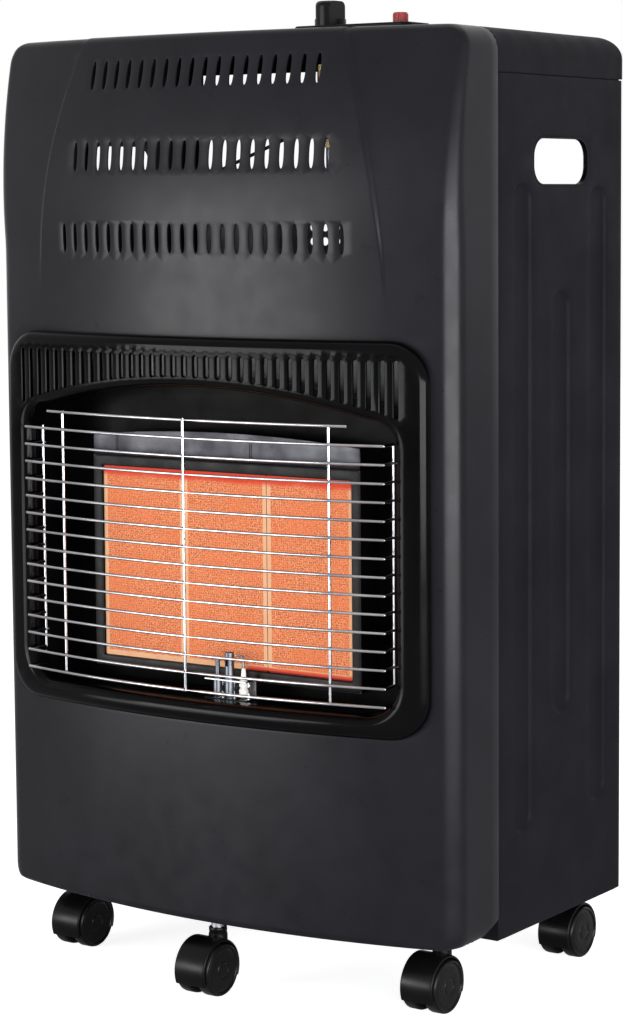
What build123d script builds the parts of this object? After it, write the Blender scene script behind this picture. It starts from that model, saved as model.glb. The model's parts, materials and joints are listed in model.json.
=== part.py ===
"""Gas cabinet heater with a bowed front, three ceramic plaques and five twin-wheel casters.

Millimetres. +X is to the viewer's right when facing the front, +Y to the back, +Z up.
The origin lies on the floor under the middle of the bounding box.
"""

from build123d import *
import math
import os

os.makedirs("parts", exist_ok=True)

# ------------------------------------------------------------------ cabinet
cabinet_width = 420.0  # over the side panels
cabinet_depth = 184.0  # front seam to the rear edge of the side panels
base_height = 53.0  # floor to the lower edge of the side panels
top_height = 716.0  # floor to the top of the lid
lid_depth = 32.0  # height of the lid's skirts
top_round = 17.0  # rounding between the top and the sides
sheet = 1.0  # steel sheet
seam_gap = 0.4  # joint between two panels
fit_gap = 0.3  # play between pieces that are slid together
running_gap = 0.08  # radial play of every pin that turns or slides
flange_width = 17.0  # edges of the side panels that turn inwards

# ------------------------------------------------------------------ front moulding
front_reach = 87.0  # front seam to the crown of the bow
bow_radius = 720.0
front_corner = 17.0  # rounding between the bow and the flank
front_wall = 1.2
front_lower_edge = 58.0
lean_length = 156.0  # height below the top over which the front leans back
lean_set_back = 25.0  # how far the crown leans back at the top
top_bow_radius = 960.0
top_corner = 6.0
lean_levels = 4
top_strip = 18.5  # part of the top that belongs to the moulding, in the middle
heel_height = 12.0  # cut-away at the lower rear corner of each flank
heel_length = 24.0

# raised shield round the air slots
shield_top_half = 119.0
shield_mid_half = 150.0
shield_low_half = 159.0
shield_mid_depth = 98.0  # below the top
shield_low_depth = 171.0
shield_rise = 5.0  # how far it stands proud at the top

# three rows of air slots: number in the row and depth of its centre below the top
slot_rows = ((18, 29.0), (20, 89.4), (22, 150.0))
slot_pitch = 12.1
slot_width = 4.6
slot_length = 22.0

# ------------------------------------------------------------------ window bezel
bezel_width = 388.0
bezel_bottom = 209.5
bezel_top = 494.5
bezel_corner = 30.0
bezel_proud = 9.0
bezel_wall = 2.4
bezel_lip = 9.0  # how far the bezel covers the panel round the window
opening_width = 341.0
opening_bottom = 226.0
opening_crown = 458.0
opening_arch_radius = 594.0
opening_top_corner = 20.0
opening_corner = 24.0
vent_count = 35
vent_pitch = 10.1
vent_width = 6.6
vent_top = 482.0
vent_above_arch = 5.5

# ------------------------------------------------------------------ burner
plaque_width = 77.0
plaque_height = 147.0
plaque_thickness = 13.0
plaque_bottom = 244.0
plaque_gap = 0.4
plaque_count = 3
plaque_set_back = 39.0  # crown of the front moulding to the plaque faces
housing_rim = 8.0
plaque_ledge = 4.0  # seat behind the edge of each plaque
housing_depth = 46.0
housing_lip = 2.0  # how far the rim stands in front of the plaques
housing_wall = 1.5
chamber_back_gap = 22.0  # plaque faces to the chamber's back wall
deflector_height = 22.0
deflector_arch = 6.0
venturi_radius = 9.0
venturi_mouth_radius = 12.0
venturi_length = 38.0
injector_gap = 4.0  # air gap between injector and venturi mouth
injector_radius = 4.0
injector_length = 10.0
manifold_radius = 6.0

# ------------------------------------------------------------------ wire guard
wire_radius = 1.1
guard_wires = 16
guard_pitch = 13.3
guard_bottom = 235.0
guard_proud = 4.0  # wire centres in front of the bezel
guard_shoulder = 165.0  # where the horizontal wires bend back
guard_turn = 86.0  # angle of the bend, in degrees
guard_tail = 16.2  # straight end behind the bend
guard_upright = 122.5
guard_top_half = 138.0  # half the length of the top wire, which has no bent ends

# ------------------------------------------------------------------ pilot group
pilot_x = 12.0
electrode_x = 25.0
thermocouple_x = 1.0
pilot_set_forward = 12.0  # plaque faces to the pilot axis
pilot_radius = 3.5
pilot_height = 258.0
bracket_size = 14.0  # depth and height of the bracket that holds the three
insulator_length = 22.0

# ------------------------------------------------------------------ controls
control_set_back = 70.0  # crown of the bow to the line of the controls
knob_x = 78.0
button_x = 139.0
plate_length = 100.0
plate_depth = 34.0
plate_thickness = 3.3
plate_corner = 6.0
knob_radius = 11.5
knob_skirt = 5.0
knob_height = 18.2
knob_shoulder = 4.0  # rounding of the upper edge
grip_width = 13.0
spindle_radius = 3.0
plug_radius = 5.0
knob_travel = 3.0  # how far the knob is pressed for lighting
valve_size = 16.0
valve_length = 60.0
valve_neck_radius = 6.0
valve_neck_length = 24.0
button_radius = 5.6
button_height = 7.7
button_travel = 5.0
button_ribs = 12
rib_radius = 0.5
rib_set_down = 1.0  # top of the button to the upper ends of the ribs
piezo_radius = 9.0
piezo_length = 44.0
nozzle_radius = 4.5
nozzle_length = 30.0
nozzle_collar = 6.0  # length of the hexagon behind the nozzle

# ------------------------------------------------------------------ base and casters
wheel_radius = 20.0
wheel_width = 11.0
hub_web = 8.0  # middle wall of the hood, between the two wheels
hood_gap = 1.0
hood_wall = 2.0
hood_clearance = 11.0  # lower edge of the hood above the floor
caster_trail = 14.0
front_inset = 44.0  # side of the cabinet to the stems of the front corner casters
rear_inset = 33.0  # side of the cabinet to the stems of the rear casters
boss_radius = 8.0
boss_height = 28.5  # axle to the top of the boss
stem_radius = 5.0
stem_seat = 20.0  # axle to the lower end of the stem
stem_collar = 1.8
axle_radius = 2.5
socket_radius = 8.0
socket_height = 22.0
front_stem = 8.0  # front seam to the stems of the front corner casters, forwards
nose_stem = 62.0  # front seam to the stem of the middle caster, forwards
rear_stem = 11.0  # rear edge of the side panels to the rear stems, forwards
pan_step = 7.0  # how much higher the nose of the base pan lies
pan_flange = 14.0

# ------------------------------------------------------------------ rear cover and heat shield
cover_drop = 116.0  # top of the lid to the upper edge of the rear cover
cover_bulge = 50.0
cover_inset = 12.0  # side of the cabinet to the edge of the cover
cover_back_inset = 60.0  # side of the cabinet to the bulged back of the cover
cover_flange = 8.0
shield_flange = 16.0  # upper edge of the heat shield that turns back
cover_hole_radius = 3.5
cover_hole_pitch = 12.0
cover_hole_rows = 3
cover_hole_columns = 22
shield_plate_drop = 171.0  # top of the lid to the upper edge of the heat shield
shield_plate_gap = 12.0  # base pan to the lower edge of the heat shield
lid_rear_lip = 18.0
lid_tongue = 8.0  # how far the lid reaches down behind the side panels
lid_corner = 16.0

# handle holes and pressed grooves of the side panels
handle_length = 82.0
handle_height = 36.0
handle_corner = 15.0
handle_drop = 95.0  # top of the lid to the middle of the handle
handle_back = 93.0  # rear edge to the middle of the handle
liner_wall = 1.4
liner_depth = 4.0
groove_width = 24.0
groove_depth = 1.6
# distance from the rear edge, lower end above the panel's edge, upper end below the top
grooves = ((149.0, 75.0, 112.0), (92.5, 156.0, 191.0), (37.0, 79.0, 114.0))

# ------------------------------------------------------------------ derived places
half = cabinet_width / 2
lid_seam_height = top_height - lid_depth
lean_start = top_height - lean_length
shield_mid_height = top_height - shield_mid_depth
shield_low_height = top_height - shield_low_depth
cover_top = top_height - cover_drop
cover_half = half - cover_inset
cover_back_half = half - cover_back_inset
shield_plate_top = top_height - shield_plate_drop
shield_plate_bottom = base_height + sheet + shield_plate_gap
handle_z = top_height - handle_drop
front_side = half - front_inset
rear_side = half - rear_inset
hood_radius = wheel_radius + hood_gap + hood_wall
front_extent = nose_stem + caster_trail + hood_radius
rear_extent = cabinet_depth + cover_bulge
seam_y = (front_extent - rear_extent) / 2
rear_y = seam_y + cabinet_depth
crown_y = seam_y - front_reach
bezel_crown = crown_y - bezel_proud
plaque_y = crown_y + plaque_set_back
housing_front = plaque_y - housing_lip
housing_back = housing_front + housing_depth
chamber_back = plaque_y + chamber_back_gap
port_y = housing_back - housing_wall - venturi_radius - 0.5
plaque_top = plaque_bottom + plaque_height
plaques_half = (plaque_count * plaque_width + (plaque_count - 1) * plaque_gap) / 2
housing_half = plaques_half + housing_rim
housing_bottom = plaque_bottom - housing_rim
housing_top = plaque_top + housing_rim
control_y = crown_y + control_set_back
pipe_y = (chamber_back + seam_y) / 2 + 2.0
ahead_y = seam_y - front_extent - 10.0  # a plane ahead of everything
front_plane = Plane.XZ.offset(-ahead_y)
through = front_extent + rear_extent + 20.0


def bow(radius, x):
    """How far a bow of this radius falls back at a distance x from the middle."""
    return radius - math.sqrt(radius**2 - x**2)


def finish(piece, name):
    """Label a finished piece and write its STEP file."""
    piece.part.label = name
    export_step(piece.part, f"parts/{name}.step")


def lean(height):
    """Share of the lean at a height: nothing below its start, one at the top."""
    rise = max(0.0, height - lean_start) / (top_height - lean_start)
    return rise**2


def front_outline(height, inset=0.0, forward=0.0):
    """Plan of the front moulding at a height, between the bow and the seam."""
    share = math.sqrt(lean(height))
    radius = bow_radius + (top_bow_radius - bow_radius) * share - inset
    corner = front_corner + (top_corner - front_corner) * share - inset
    nose = crown_y + lean_set_back * lean(height) - forward + inset
    side = half - inset
    shoulder = nose + bow(radius, side)
    with BuildSketch(Plane.XY.offset(height)) as outline:
        with BuildLine():
            ThreePointArc((-side, shoulder), (0, nose), (side, shoulder))
            Polyline((side, shoulder), (side, seam_y), (-side, seam_y), (-side, shoulder))
        make_face()
        fillet(outline.vertices().group_by(Axis.Y)[0], corner)
    return outline.sketch


def crown_envelope(inset=0.0):
    """Everything below a top with rounded sides, to cut a piece to the cabinet's front view."""
    with BuildPart() as envelope:
        with BuildSketch(front_plane) as view:
            with Locations((0, (top_height - inset) / 2)):
                Rectangle(cabinet_width - 2 * inset, top_height - inset)
            fillet(view.vertices().group_by(Axis.Y)[-1], top_round - inset)
        extrude(amount=-through)
    return envelope.part


def lid_line(shift=0.0):
    """Joint between the moulding and the lid, seen from above."""
    strip_y = crown_y + lean_set_back + top_strip + shift
    edge_y = seam_y + shift
    shoulder = half - top_round - shift
    corner_y = strip_y + bow(top_bow_radius, shoulder)
    Polyline((-half, edge_y), (-shoulder, edge_y), (-shoulder, corner_y))
    ThreePointArc((-shoulder, corner_y), (0, strip_y), (shoulder, corner_y))
    Polyline((shoulder, corner_y), (shoulder, edge_y), (half, edge_y))


def bow_slab(crown, radius, thickness, low, high):
    """Part of a bowed wall, wide enough for the whole front."""
    with BuildPart() as slab:
        with BuildSketch(Plane.XY.offset(low)):
            with BuildLine():
                fall = bow(radius, half)
                ThreePointArc((-half, crown + fall), (0, crown), (half, crown + fall))
                Line((half, crown + fall), (half, crown + fall + thickness))
                inner = crown + thickness
                ThreePointArc((half, inner + fall), (0, inner), (-half, inner + fall))
                Line((-half, inner + fall), (-half, crown + fall))
            make_face()
        extrude(amount=high - low)
    return slab.part


def opening_arch(x, grow=0.0):
    """Height of the arched upper edge of the opening."""
    return opening_crown + grow - bow(opening_arch_radius + grow, x)


def opening_outline(plane, grow=0.0):
    """The arched opening of the bezel, drawn on a plane that faces the front."""
    side = opening_width / 2 + grow
    low = opening_bottom - grow
    shoulder = opening_arch(side, grow)
    with BuildSketch(plane) as outline:
        with BuildLine():
            Polyline((-side, shoulder), (-side, low), (side, low), (side, shoulder))
            ThreePointArc((side, shoulder), (0, opening_crown + grow), (-side, shoulder))
        make_face()
        low_corners = outline.vertices().group_by(Axis.Y)[0]
        fillet(low_corners, opening_corner + grow)
        shoulders = outline.vertices().group_by(Axis.Y)[-1]
        fillet(shoulders, opening_top_corner + grow)
    return outline.sketch


# ------------------------------------------------------------------ front moulding
levels = [lean_start + (top_height - lean_start) * i / (lean_levels - 1) for i in range(lean_levels)]
inner_levels = levels[:-1] + [top_height - front_wall]

with BuildPart() as moulding_core:
    extrude(front_outline(front_lower_edge, front_wall), amount=lean_start - front_lower_edge)
    loft([front_outline(z, front_wall) for z in inner_levels], ruled=True)
    add(crown_envelope(front_wall), mode=Mode.INTERSECT)

with BuildPart() as shield_body:
    loft([front_outline(z, 0.0, shield_rise * math.sqrt(lean(z))) for z in levels], ruled=True)
    with BuildSketch(front_plane) as shield_shape:
        with BuildLine():
            Spline(
                (shield_low_half, shield_low_height),
                (shield_mid_half, shield_mid_height),
                (shield_top_half, top_height),
            )
            Line((shield_top_half, top_height), (-shield_top_half, top_height))
            Spline(
                (-shield_top_half, top_height),
                (-shield_mid_half, shield_mid_height),
                (-shield_low_half, shield_low_height),
            )
            Line((-shield_low_half, shield_low_height), (shield_low_half, shield_low_height))
        make_face()
    extrude(amount=-through, mode=Mode.INTERSECT)

with BuildPart() as front_panel:
    extrude(front_outline(front_lower_edge), amount=lean_start - front_lower_edge)
    loft([front_outline(z) for z in levels], ruled=True)
    add(shield_body.part)
    add(crown_envelope(), mode=Mode.INTERSECT)
    add(moulding_core.part, mode=Mode.SUBTRACT)
    # the lid takes the top behind a bowed line
    with BuildSketch(Plane.XY.offset(top_height)):
        with BuildLine():
            lid_line()
            Polyline((half, seam_y), (half, seam_y + 1), (-half, seam_y + 1), (-half, seam_y))
        make_face()
    extrude(amount=-front_wall, mode=Mode.SUBTRACT)
    # window behind the bezel
    with BuildSketch(front_plane) as window:
        with Locations((0, (bezel_bottom + bezel_top) / 2)):
            window_height = bezel_top - bezel_bottom - 2 * bezel_lip
            RectangleRounded(bezel_width - 2 * bezel_lip, window_height, bezel_corner - bezel_lip)
    extrude(amount=-(seam_y - ahead_y), mode=Mode.SUBTRACT)
    # air slots with pointed ends
    with BuildSketch(front_plane) as air_slots:
        for count, depth in slot_rows:
            with Locations((0, top_height - depth)):
                with GridLocations(slot_pitch, 1, count, 1):
                    SlotOverall(slot_length, slot_width, rotation=90)
    extrude(amount=-(seam_y - ahead_y), mode=Mode.SUBTRACT)
    # cut-away heels that leave the corner of the base pan in sight
    with BuildSketch(Plane.YZ.offset(-half)) as heel:
        with BuildLine():
            Polyline(
                (seam_y, front_lower_edge),
                (seam_y - heel_length, front_lower_edge),
                (seam_y, front_lower_edge + heel_height),
                close=True,
            )
        make_face()
    extrude(amount=cabinet_width, mode=Mode.SUBTRACT)
finish(front_panel, "front_panel")

# ------------------------------------------------------------------ window bezel
bezel_back = bezel_proud - seam_gap


def bezel_outline(plane, inset=0.0):
    """Outer outline of the bezel."""
    with BuildSketch(plane) as outline:
        with Locations((0, (bezel_bottom + bezel_top) / 2)):
            height = bezel_top - bezel_bottom - 2 * inset
            RectangleRounded(bezel_width - 2 * inset, height, bezel_corner - inset)
    return outline.sketch


with BuildPart() as bezel_hollow:
    extrude(bezel_outline(front_plane, bezel_wall), amount=-through)
    extrude(opening_outline(front_plane, bezel_wall), amount=-through, mode=Mode.SUBTRACT)
    add(
        bow_slab(bezel_crown + bezel_wall, bow_radius + bezel_proud, bezel_proud, bezel_bottom, bezel_top),
        mode=Mode.INTERSECT,
    )

with BuildPart() as bezel:
    add(bow_slab(bezel_crown, bow_radius + bezel_proud, bezel_back, bezel_bottom, bezel_top))
    extrude(bezel_outline(front_plane), amount=-through, mode=Mode.INTERSECT)
    add(bezel_hollow.part, mode=Mode.SUBTRACT)
    extrude(opening_outline(front_plane), amount=-through, mode=Mode.SUBTRACT)
    with BuildSketch(front_plane) as vents:
        for i in range(vent_count):
            vent_x = (i - (vent_count - 1) / 2) * vent_pitch
            vent_low = opening_arch(vent_x) + vent_above_arch
            with Locations((vent_x, (vent_top + vent_low) / 2)):
                SlotOverall(vent_top - vent_low, vent_width, rotation=90)
    extrude(amount=-through, mode=Mode.SUBTRACT)
finish(bezel, "bezel")

# ------------------------------------------------------------------ burner chamber
chamber_grow = bezel_wall + fit_gap
chamber_inner_half = opening_width / 2 + chamber_grow
chamber_floor = opening_bottom - chamber_grow

with BuildPart() as chamber:
    back_depth = chamber_back - ahead_y
    extrude(opening_outline(front_plane, chamber_grow + sheet), amount=-back_depth - sheet)
    extrude(opening_outline(front_plane, chamber_grow), amount=-back_depth, mode=Mode.SUBTRACT)
    with BuildSketch(Plane.XY) as bezel_side:
        with BuildLine():
            face = bezel_crown + bezel_wall + fit_gap
            fall = bow(bow_radius, half)
            ThreePointArc((-half, face + fall), (0, face), (half, face + fall))
            Polyline((half, face + fall), (half, ahead_y), (-half, ahead_y), (-half, face + fall))
        make_face()
    extrude(amount=top_height, mode=Mode.SUBTRACT)
    with BuildSketch(front_plane):
        with Locations((0, (housing_bottom + housing_top) / 2)):
            Rectangle(2 * (housing_half + fit_gap), housing_top - housing_bottom + 2 * fit_gap)
    extrude(amount=-through, mode=Mode.SUBTRACT)
    # passages for the pilot pipe, the spark lead and the thermocouple lead
    with BuildSketch(Plane.XY.offset(chamber_floor - 2 * sheet)):
        pilot_y = plaque_y - pilot_set_forward
        with Locations((pilot_x, pilot_y), (electrode_x, pilot_y), (thermocouple_x, pilot_y)):
            Circle(pilot_radius + fit_gap)
    extrude(amount=3 * sheet, mode=Mode.SUBTRACT)
finish(chamber, "burner_chamber")

# ------------------------------------------------------------------ burner housing and plaques
plaque_places = [
    ((i - (plaque_count - 1) / 2) * (plaque_width + plaque_gap), (plaque_bottom + plaque_top) / 2)
    for i in range(plaque_count)
]
housing_plane = Plane.XZ.offset(-housing_front)
plaque_plane = Plane.XZ.offset(-plaque_y)

with BuildPart() as housing:
    with BuildSketch(housing_plane):
        with Locations((0, (housing_bottom + housing_top) / 2)):
            Rectangle(2 * housing_half, housing_top - housing_bottom)
    extrude(amount=-housing_depth)
    with BuildSketch(housing_plane):
        with Locations((0, (plaque_bottom + plaque_top) / 2)):
            Rectangle(2 * (plaques_half + seam_gap / 2), plaque_height + seam_gap)
    extrude(amount=-(housing_lip + plaque_thickness), mode=Mode.SUBTRACT)
    # one mixing room behind each plaque
    with BuildSketch(housing_plane):
        with Locations(*plaque_places):
            Rectangle(plaque_width - 2 * plaque_ledge, plaque_height - 2 * plaque_ledge)
    extrude(amount=-(housing_depth - housing_wall), mode=Mode.SUBTRACT)
    # venturi ports in the underside
    with BuildSketch(Plane.XY.offset(housing_bottom)):
        with Locations(*[(x, port_y) for x, z in plaque_places]):
            Circle(venturi_radius)
    extrude(amount=2 * housing_rim + 1, mode=Mode.SUBTRACT)
finish(housing, "burner_housing")

for name, (plaque_x, plaque_z) in zip(("left", "centre", "right"), plaque_places):
    with BuildPart() as plaque:
        with BuildSketch(plaque_plane):
            with Locations((plaque_x, plaque_z)):
                RectangleRounded(plaque_width, plaque_height, 1.5)
        extrude(amount=-plaque_thickness)
    finish(plaque, f"plaque_{name}")

with BuildPart() as deflector:
    deflector_half = housing_half
    deflector_low = housing_top + fit_gap
    with BuildSketch(housing_plane):
        with BuildLine():
            rim = deflector_low + deflector_height - deflector_arch
            Polyline(
                (-deflector_half, rim),
                (-deflector_half, deflector_low),
                (deflector_half, deflector_low),
                (deflector_half, rim),
            )
            crest = deflector_low + deflector_height
            ThreePointArc((deflector_half, rim), (0, crest), (-deflector_half, rim))
        make_face()
    extrude(amount=-sheet)
    # foot that is screwed to the chamber's back wall
    with BuildSketch(Plane.XY.offset(deflector_low)):
        with Locations((0, (housing_front + chamber_back) / 2)):
            Rectangle(2 * deflector_half, chamber_back - housing_front)
    extrude(amount=sheet)
finish(deflector, "deflector")

# ------------------------------------------------------------------ venturis, injectors and manifold
venturi_mouth = housing_bottom - venturi_length
injector_top = venturi_mouth - injector_gap
manifold_z = injector_top - injector_length - manifold_radius
manifold_half = plaques_half - plaque_width / 4

with BuildPart() as venturis:
    with BuildSketch(Plane.YZ) as venturi_profile:
        with BuildLine():
            Polyline(
                (port_y + venturi_radius, housing_bottom),
                (port_y + venturi_radius, venturi_mouth + venturi_length / 3),
                (port_y + venturi_mouth_radius, venturi_mouth),
                (port_y + venturi_mouth_radius - sheet, venturi_mouth),
                (port_y + venturi_radius - sheet, venturi_mouth + venturi_length / 3),
                (port_y + venturi_radius - sheet, housing_bottom),
                close=True,
            )
        make_face()
    revolve(axis=Axis((0, port_y, 0), (0, 0, 1)))
    one_venturi = venturis.part
    for plaque_x, plaque_z in plaque_places:
        if abs(plaque_x) > 1:
            add(Pos(plaque_x, 0, 0) * one_venturi)
finish(venturis, "venturi_tubes")

with BuildPart() as manifold:
    with BuildSketch(Plane.YZ.offset(-manifold_half)):
        with Locations((port_y, manifold_z)):
            Circle(manifold_radius)
            Circle(manifold_radius - sheet, mode=Mode.SUBTRACT)
    extrude(amount=2 * manifold_half)
    with BuildSketch(Plane.YZ.offset(-manifold_half)):
        with Locations((port_y, manifold_z)):
            Circle(manifold_radius)
    extrude(amount=sheet)
finish(manifold, "gas_manifold")

with BuildPart() as injectors:
    with BuildSketch(Plane.XY.offset(manifold_z + manifold_radius)):
        with Locations(*[(x, port_y) for x, z in plaque_places]):
            RegularPolygon(injector_radius, 6)
            Circle(0.6, mode=Mode.SUBTRACT)
    extrude(amount=injector_length)
finish(injectors, "injectors")

# ------------------------------------------------------------------ wire guard
guard_crown = bezel_crown - guard_proud
guard_bow = bow_radius + bezel_proud + guard_proud
guard_end_half = chamber_inner_half - fit_gap
guard_heights = [guard_bottom + i * guard_pitch for i in range(guard_wires)]

with BuildPart() as long_wire:
    with BuildLine(Plane.XY.offset(guard_heights[0])) as wire_path:
        shoulder_y = guard_crown + bow(guard_bow, guard_shoulder)
        front_arc = ThreePointArc((-guard_shoulder, shoulder_y), (0, guard_crown), (guard_shoulder, shoulder_y))
    with BuildSketch(Plane(origin=front_arc @ 0, z_dir=front_arc % 0)):
        Circle(wire_radius)
    sweep(path=wire_path.line)
    # bent ends that reach back to the walls of the chamber
    for end, side in ((0, -1), (1, 1)):
        corner = front_arc @ end
        backwards = (front_arc % end * side).rotate(Axis.Z, side * guard_turn)
        with BuildSketch(Plane(origin=corner, z_dir=backwards)):
            Circle(wire_radius)
        extrude(amount=guard_tail)
        with Locations(corner):
            Sphere(wire_radius)

with BuildPart() as guard:
    for i in range(guard_wires - 1):
        add(Pos(0, 0, i * guard_pitch) * long_wire.part)
    # the top wire follows the narrow end of the arch and has no bent ends
    with BuildLine(Plane.XY.offset(guard_heights[-1])) as top_path:
        top_end_y = guard_crown + bow(guard_bow, guard_top_half)
        ThreePointArc((-guard_top_half, top_end_y), (0, guard_crown), (guard_top_half, top_end_y))
    with BuildSketch(Plane(origin=top_path.line @ 0, z_dir=top_path.line % 0)):
        Circle(wire_radius)
    sweep(path=top_path.line)
    # uprights welded behind the horizontal wires
    with BuildSketch(Plane.XY.offset(guard_heights[0] - wire_radius)):
        behind = 1.8 * wire_radius
        front_y = guard_crown + bow(guard_bow, guard_upright) + behind
        with Locations((-guard_upright, front_y), (0, guard_crown + behind), (guard_upright, front_y)):
            Circle(wire_radius)
    extrude(amount=guard_heights[-1] - guard_heights[0] + 2 * wire_radius)
    # posts across the ends of the wires
    post = corner + backwards * (guard_tail + 0.8 * wire_radius)
    with BuildSketch(Plane.XY.offset(guard_heights[1])):
        with Locations((-post.X, post.Y), (post.X, post.Y)):
            Circle(wire_radius)
    extrude(amount=guard_heights[-2] - guard_heights[1])
    # hooks behind the posts, which hold them to the walls of the chamber
    hook_y = post.Y + behind
    hook_start = post.X - 2 * wire_radius
    for hook_plane in (Plane.YZ.offset(-guard_end_half), Plane.YZ.offset(hook_start)):
        with BuildSketch(hook_plane):
            with Locations((hook_y, guard_heights[2]), (hook_y, guard_heights[-3])):
                Circle(wire_radius)
        extrude(amount=guard_end_half - hook_start)
    # every wire ends just short of the chamber's walls
    extrude(opening_outline(front_plane, chamber_grow - fit_gap), amount=-through, mode=Mode.INTERSECT)
finish(guard, "wire_guard")

# ------------------------------------------------------------------ pilot burner group
with BuildPart() as pilot_burner:
    with BuildSketch(Plane.XY.offset(chamber_floor + 2 * sheet)):
        with Locations((pilot_x, pilot_y)):
            Circle(pilot_radius)
            Circle(pilot_radius - sheet, mode=Mode.SUBTRACT)
    extrude(amount=pilot_height - chamber_floor - 2 * sheet)
    with BuildSketch(Plane.XZ.offset(-pilot_y + pilot_radius + 1)):
        with Locations((pilot_x, pilot_height - 7)):
            Rectangle(2.2, 6)
    extrude(amount=-pilot_radius - 1, mode=Mode.SUBTRACT)
finish(pilot_burner, "pilot_burner")

with BuildPart() as pilot_bracket:
    bracket_low = chamber_floor + fit_gap
    bracket_middle = (electrode_x + thermocouple_x) / 2
    bracket_length = electrode_x - thermocouple_x + bracket_size
    with BuildSketch(Plane.XY.offset(bracket_low)):
        with Locations((bracket_middle, pilot_y)):
            Rectangle(bracket_length, bracket_size)
    extrude(amount=sheet)
    with BuildSketch(Plane.XY.offset(bracket_low + bracket_size)):
        with Locations((bracket_middle, pilot_y)):
            Rectangle(bracket_length, bracket_size)
    extrude(amount=sheet)
    with BuildSketch(Plane.XY.offset(bracket_low)):
        with Locations((bracket_middle, pilot_y + (bracket_size - sheet) / 2)):
            Rectangle(bracket_length, sheet)
    extrude(amount=bracket_size + sheet)
    with BuildSketch(Plane.XY.offset(bracket_low)):
        with Locations((pilot_x, pilot_y), (electrode_x, pilot_y), (thermocouple_x, pilot_y)):
            Circle(pilot_radius + 0.05)
    extrude(amount=bracket_size + 2 * sheet, mode=Mode.SUBTRACT)
finish(pilot_bracket, "pilot_bracket")

with BuildPart() as electrode:
    with BuildSketch(Plane.XY.offset(chamber_floor + 2 * sheet)):
        with Locations((electrode_x, pilot_y)):
            Circle(pilot_radius)
    extrude(amount=insulator_length)
    fillet(electrode.faces().sort_by(Axis.Z)[-1].edges(), 1.0)
finish(electrode, "spark_insulator")

spark_base = chamber_floor + 2 * sheet + insulator_length
with BuildPart() as spark_wire:
    with BuildLine() as spark_path:
        FilletPolyline(
            (electrode_x, pilot_y, spark_base),
            (electrode_x, pilot_y, spark_base + 9),
            (pilot_x + pilot_radius + 3, pilot_y, spark_base + 9),
            radius=2.5,
        )
    with BuildSketch(Plane(origin=spark_path.line @ 0, z_dir=spark_path.line % 0)):
        Circle(0.8)
    sweep(path=spark_path.line)
finish(spark_wire, "spark_wire")

with BuildPart() as thermocouple:
    with BuildSketch(Plane.XY.offset(chamber_floor + 2 * sheet)):
        with Locations((thermocouple_x, pilot_y)):
            Circle(pilot_radius)
    extrude(amount=12)
    with BuildSketch(Plane.XY.offset(chamber_floor + 2 * sheet + 12)):
        with Locations((thermocouple_x, pilot_y)):
            Circle(pilot_radius / 2)
    extrude(amount=16)
    fillet(thermocouple.faces().sort_by(Axis.Z)[-1].edges(), 1.2)
finish(thermocouple, "thermocouple")

# ------------------------------------------------------------------ side panels
panel_inner = half - sheet


def handle_shape(plane, grow=0.0):
    """Rounded hand hole on a plane that faces +X."""
    with BuildSketch(plane) as shape:
        with Locations((rear_y - handle_back, handle_z)):
            RectangleRounded(handle_length + 2 * grow, handle_height + 2 * grow, handle_corner + grow)
    return shape.sketch


def groove_shape(plane, grow=0.0):
    """The three pressed grooves on a plane that faces +X."""
    with BuildSketch(plane) as shape:
        for from_rear, above, below in grooves:
            low, high = base_height + above, top_height - below
            with Locations((rear_y - from_rear, (low + high) / 2)):
                SlotOverall(high - low + 2 * grow, groove_width + 2 * grow, rotation=90)
    return shape.sketch


with BuildPart() as side_right:
    panel_height = lid_seam_height - seam_gap - base_height
    panel_middle = (seam_y + seam_gap + rear_y) / 2
    panel_depth = cabinet_depth - seam_gap
    with BuildSketch(Plane.XY.offset(base_height)):
        with Locations((half - sheet / 2, panel_middle)):
            Rectangle(sheet, panel_depth)
    extrude(amount=panel_height)
    # edges that turn inwards above the upstand of the base pan
    with BuildSketch(Plane.XY.offset(base_height + pan_flange + fit_gap)):
        flange_x = half - flange_width / 2
        with Locations((flange_x, seam_y + seam_gap + sheet / 2), (flange_x, rear_y - sheet / 2)):
            Rectangle(flange_width, sheet)
    extrude(amount=panel_height - pan_flange - fit_gap)
    extrude(groove_shape(Plane.YZ.offset(panel_inner - groove_depth), sheet), amount=groove_depth)
    extrude(groove_shape(Plane.YZ.offset(half - groove_depth)), amount=groove_depth, mode=Mode.SUBTRACT)
    extrude(handle_shape(Plane.YZ.offset(half - 2 * sheet)), amount=3 * sheet, mode=Mode.SUBTRACT)
finish(side_right, "side_panel_right")

with BuildPart() as side_left:
    add(mirror(side_right.part, about=Plane.YZ, mode=Mode.PRIVATE))
finish(side_left, "side_panel_left")

with BuildPart() as liner_right:
    extrude(handle_shape(Plane.YZ.offset(half - liner_depth), -0.1), amount=liner_depth - 0.1)
    extrude(handle_shape(Plane.YZ.offset(panel_inner - 2.2), 3.0), amount=2.0)
    liner_plane = Plane.YZ.offset(half - liner_depth)
    extrude(handle_shape(liner_plane, -liner_wall), amount=liner_depth, mode=Mode.SUBTRACT)
finish(liner_right, "handle_liner_right")

with BuildPart() as liner_left:
    add(mirror(liner_right.part, about=Plane.YZ, mode=Mode.PRIVATE))
finish(liner_left, "handle_liner_left")

# ------------------------------------------------------------------ lid
lid_front_y = crown_y + lean_set_back + top_strip + seam_gap
lid_low = lid_seam_height


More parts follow.
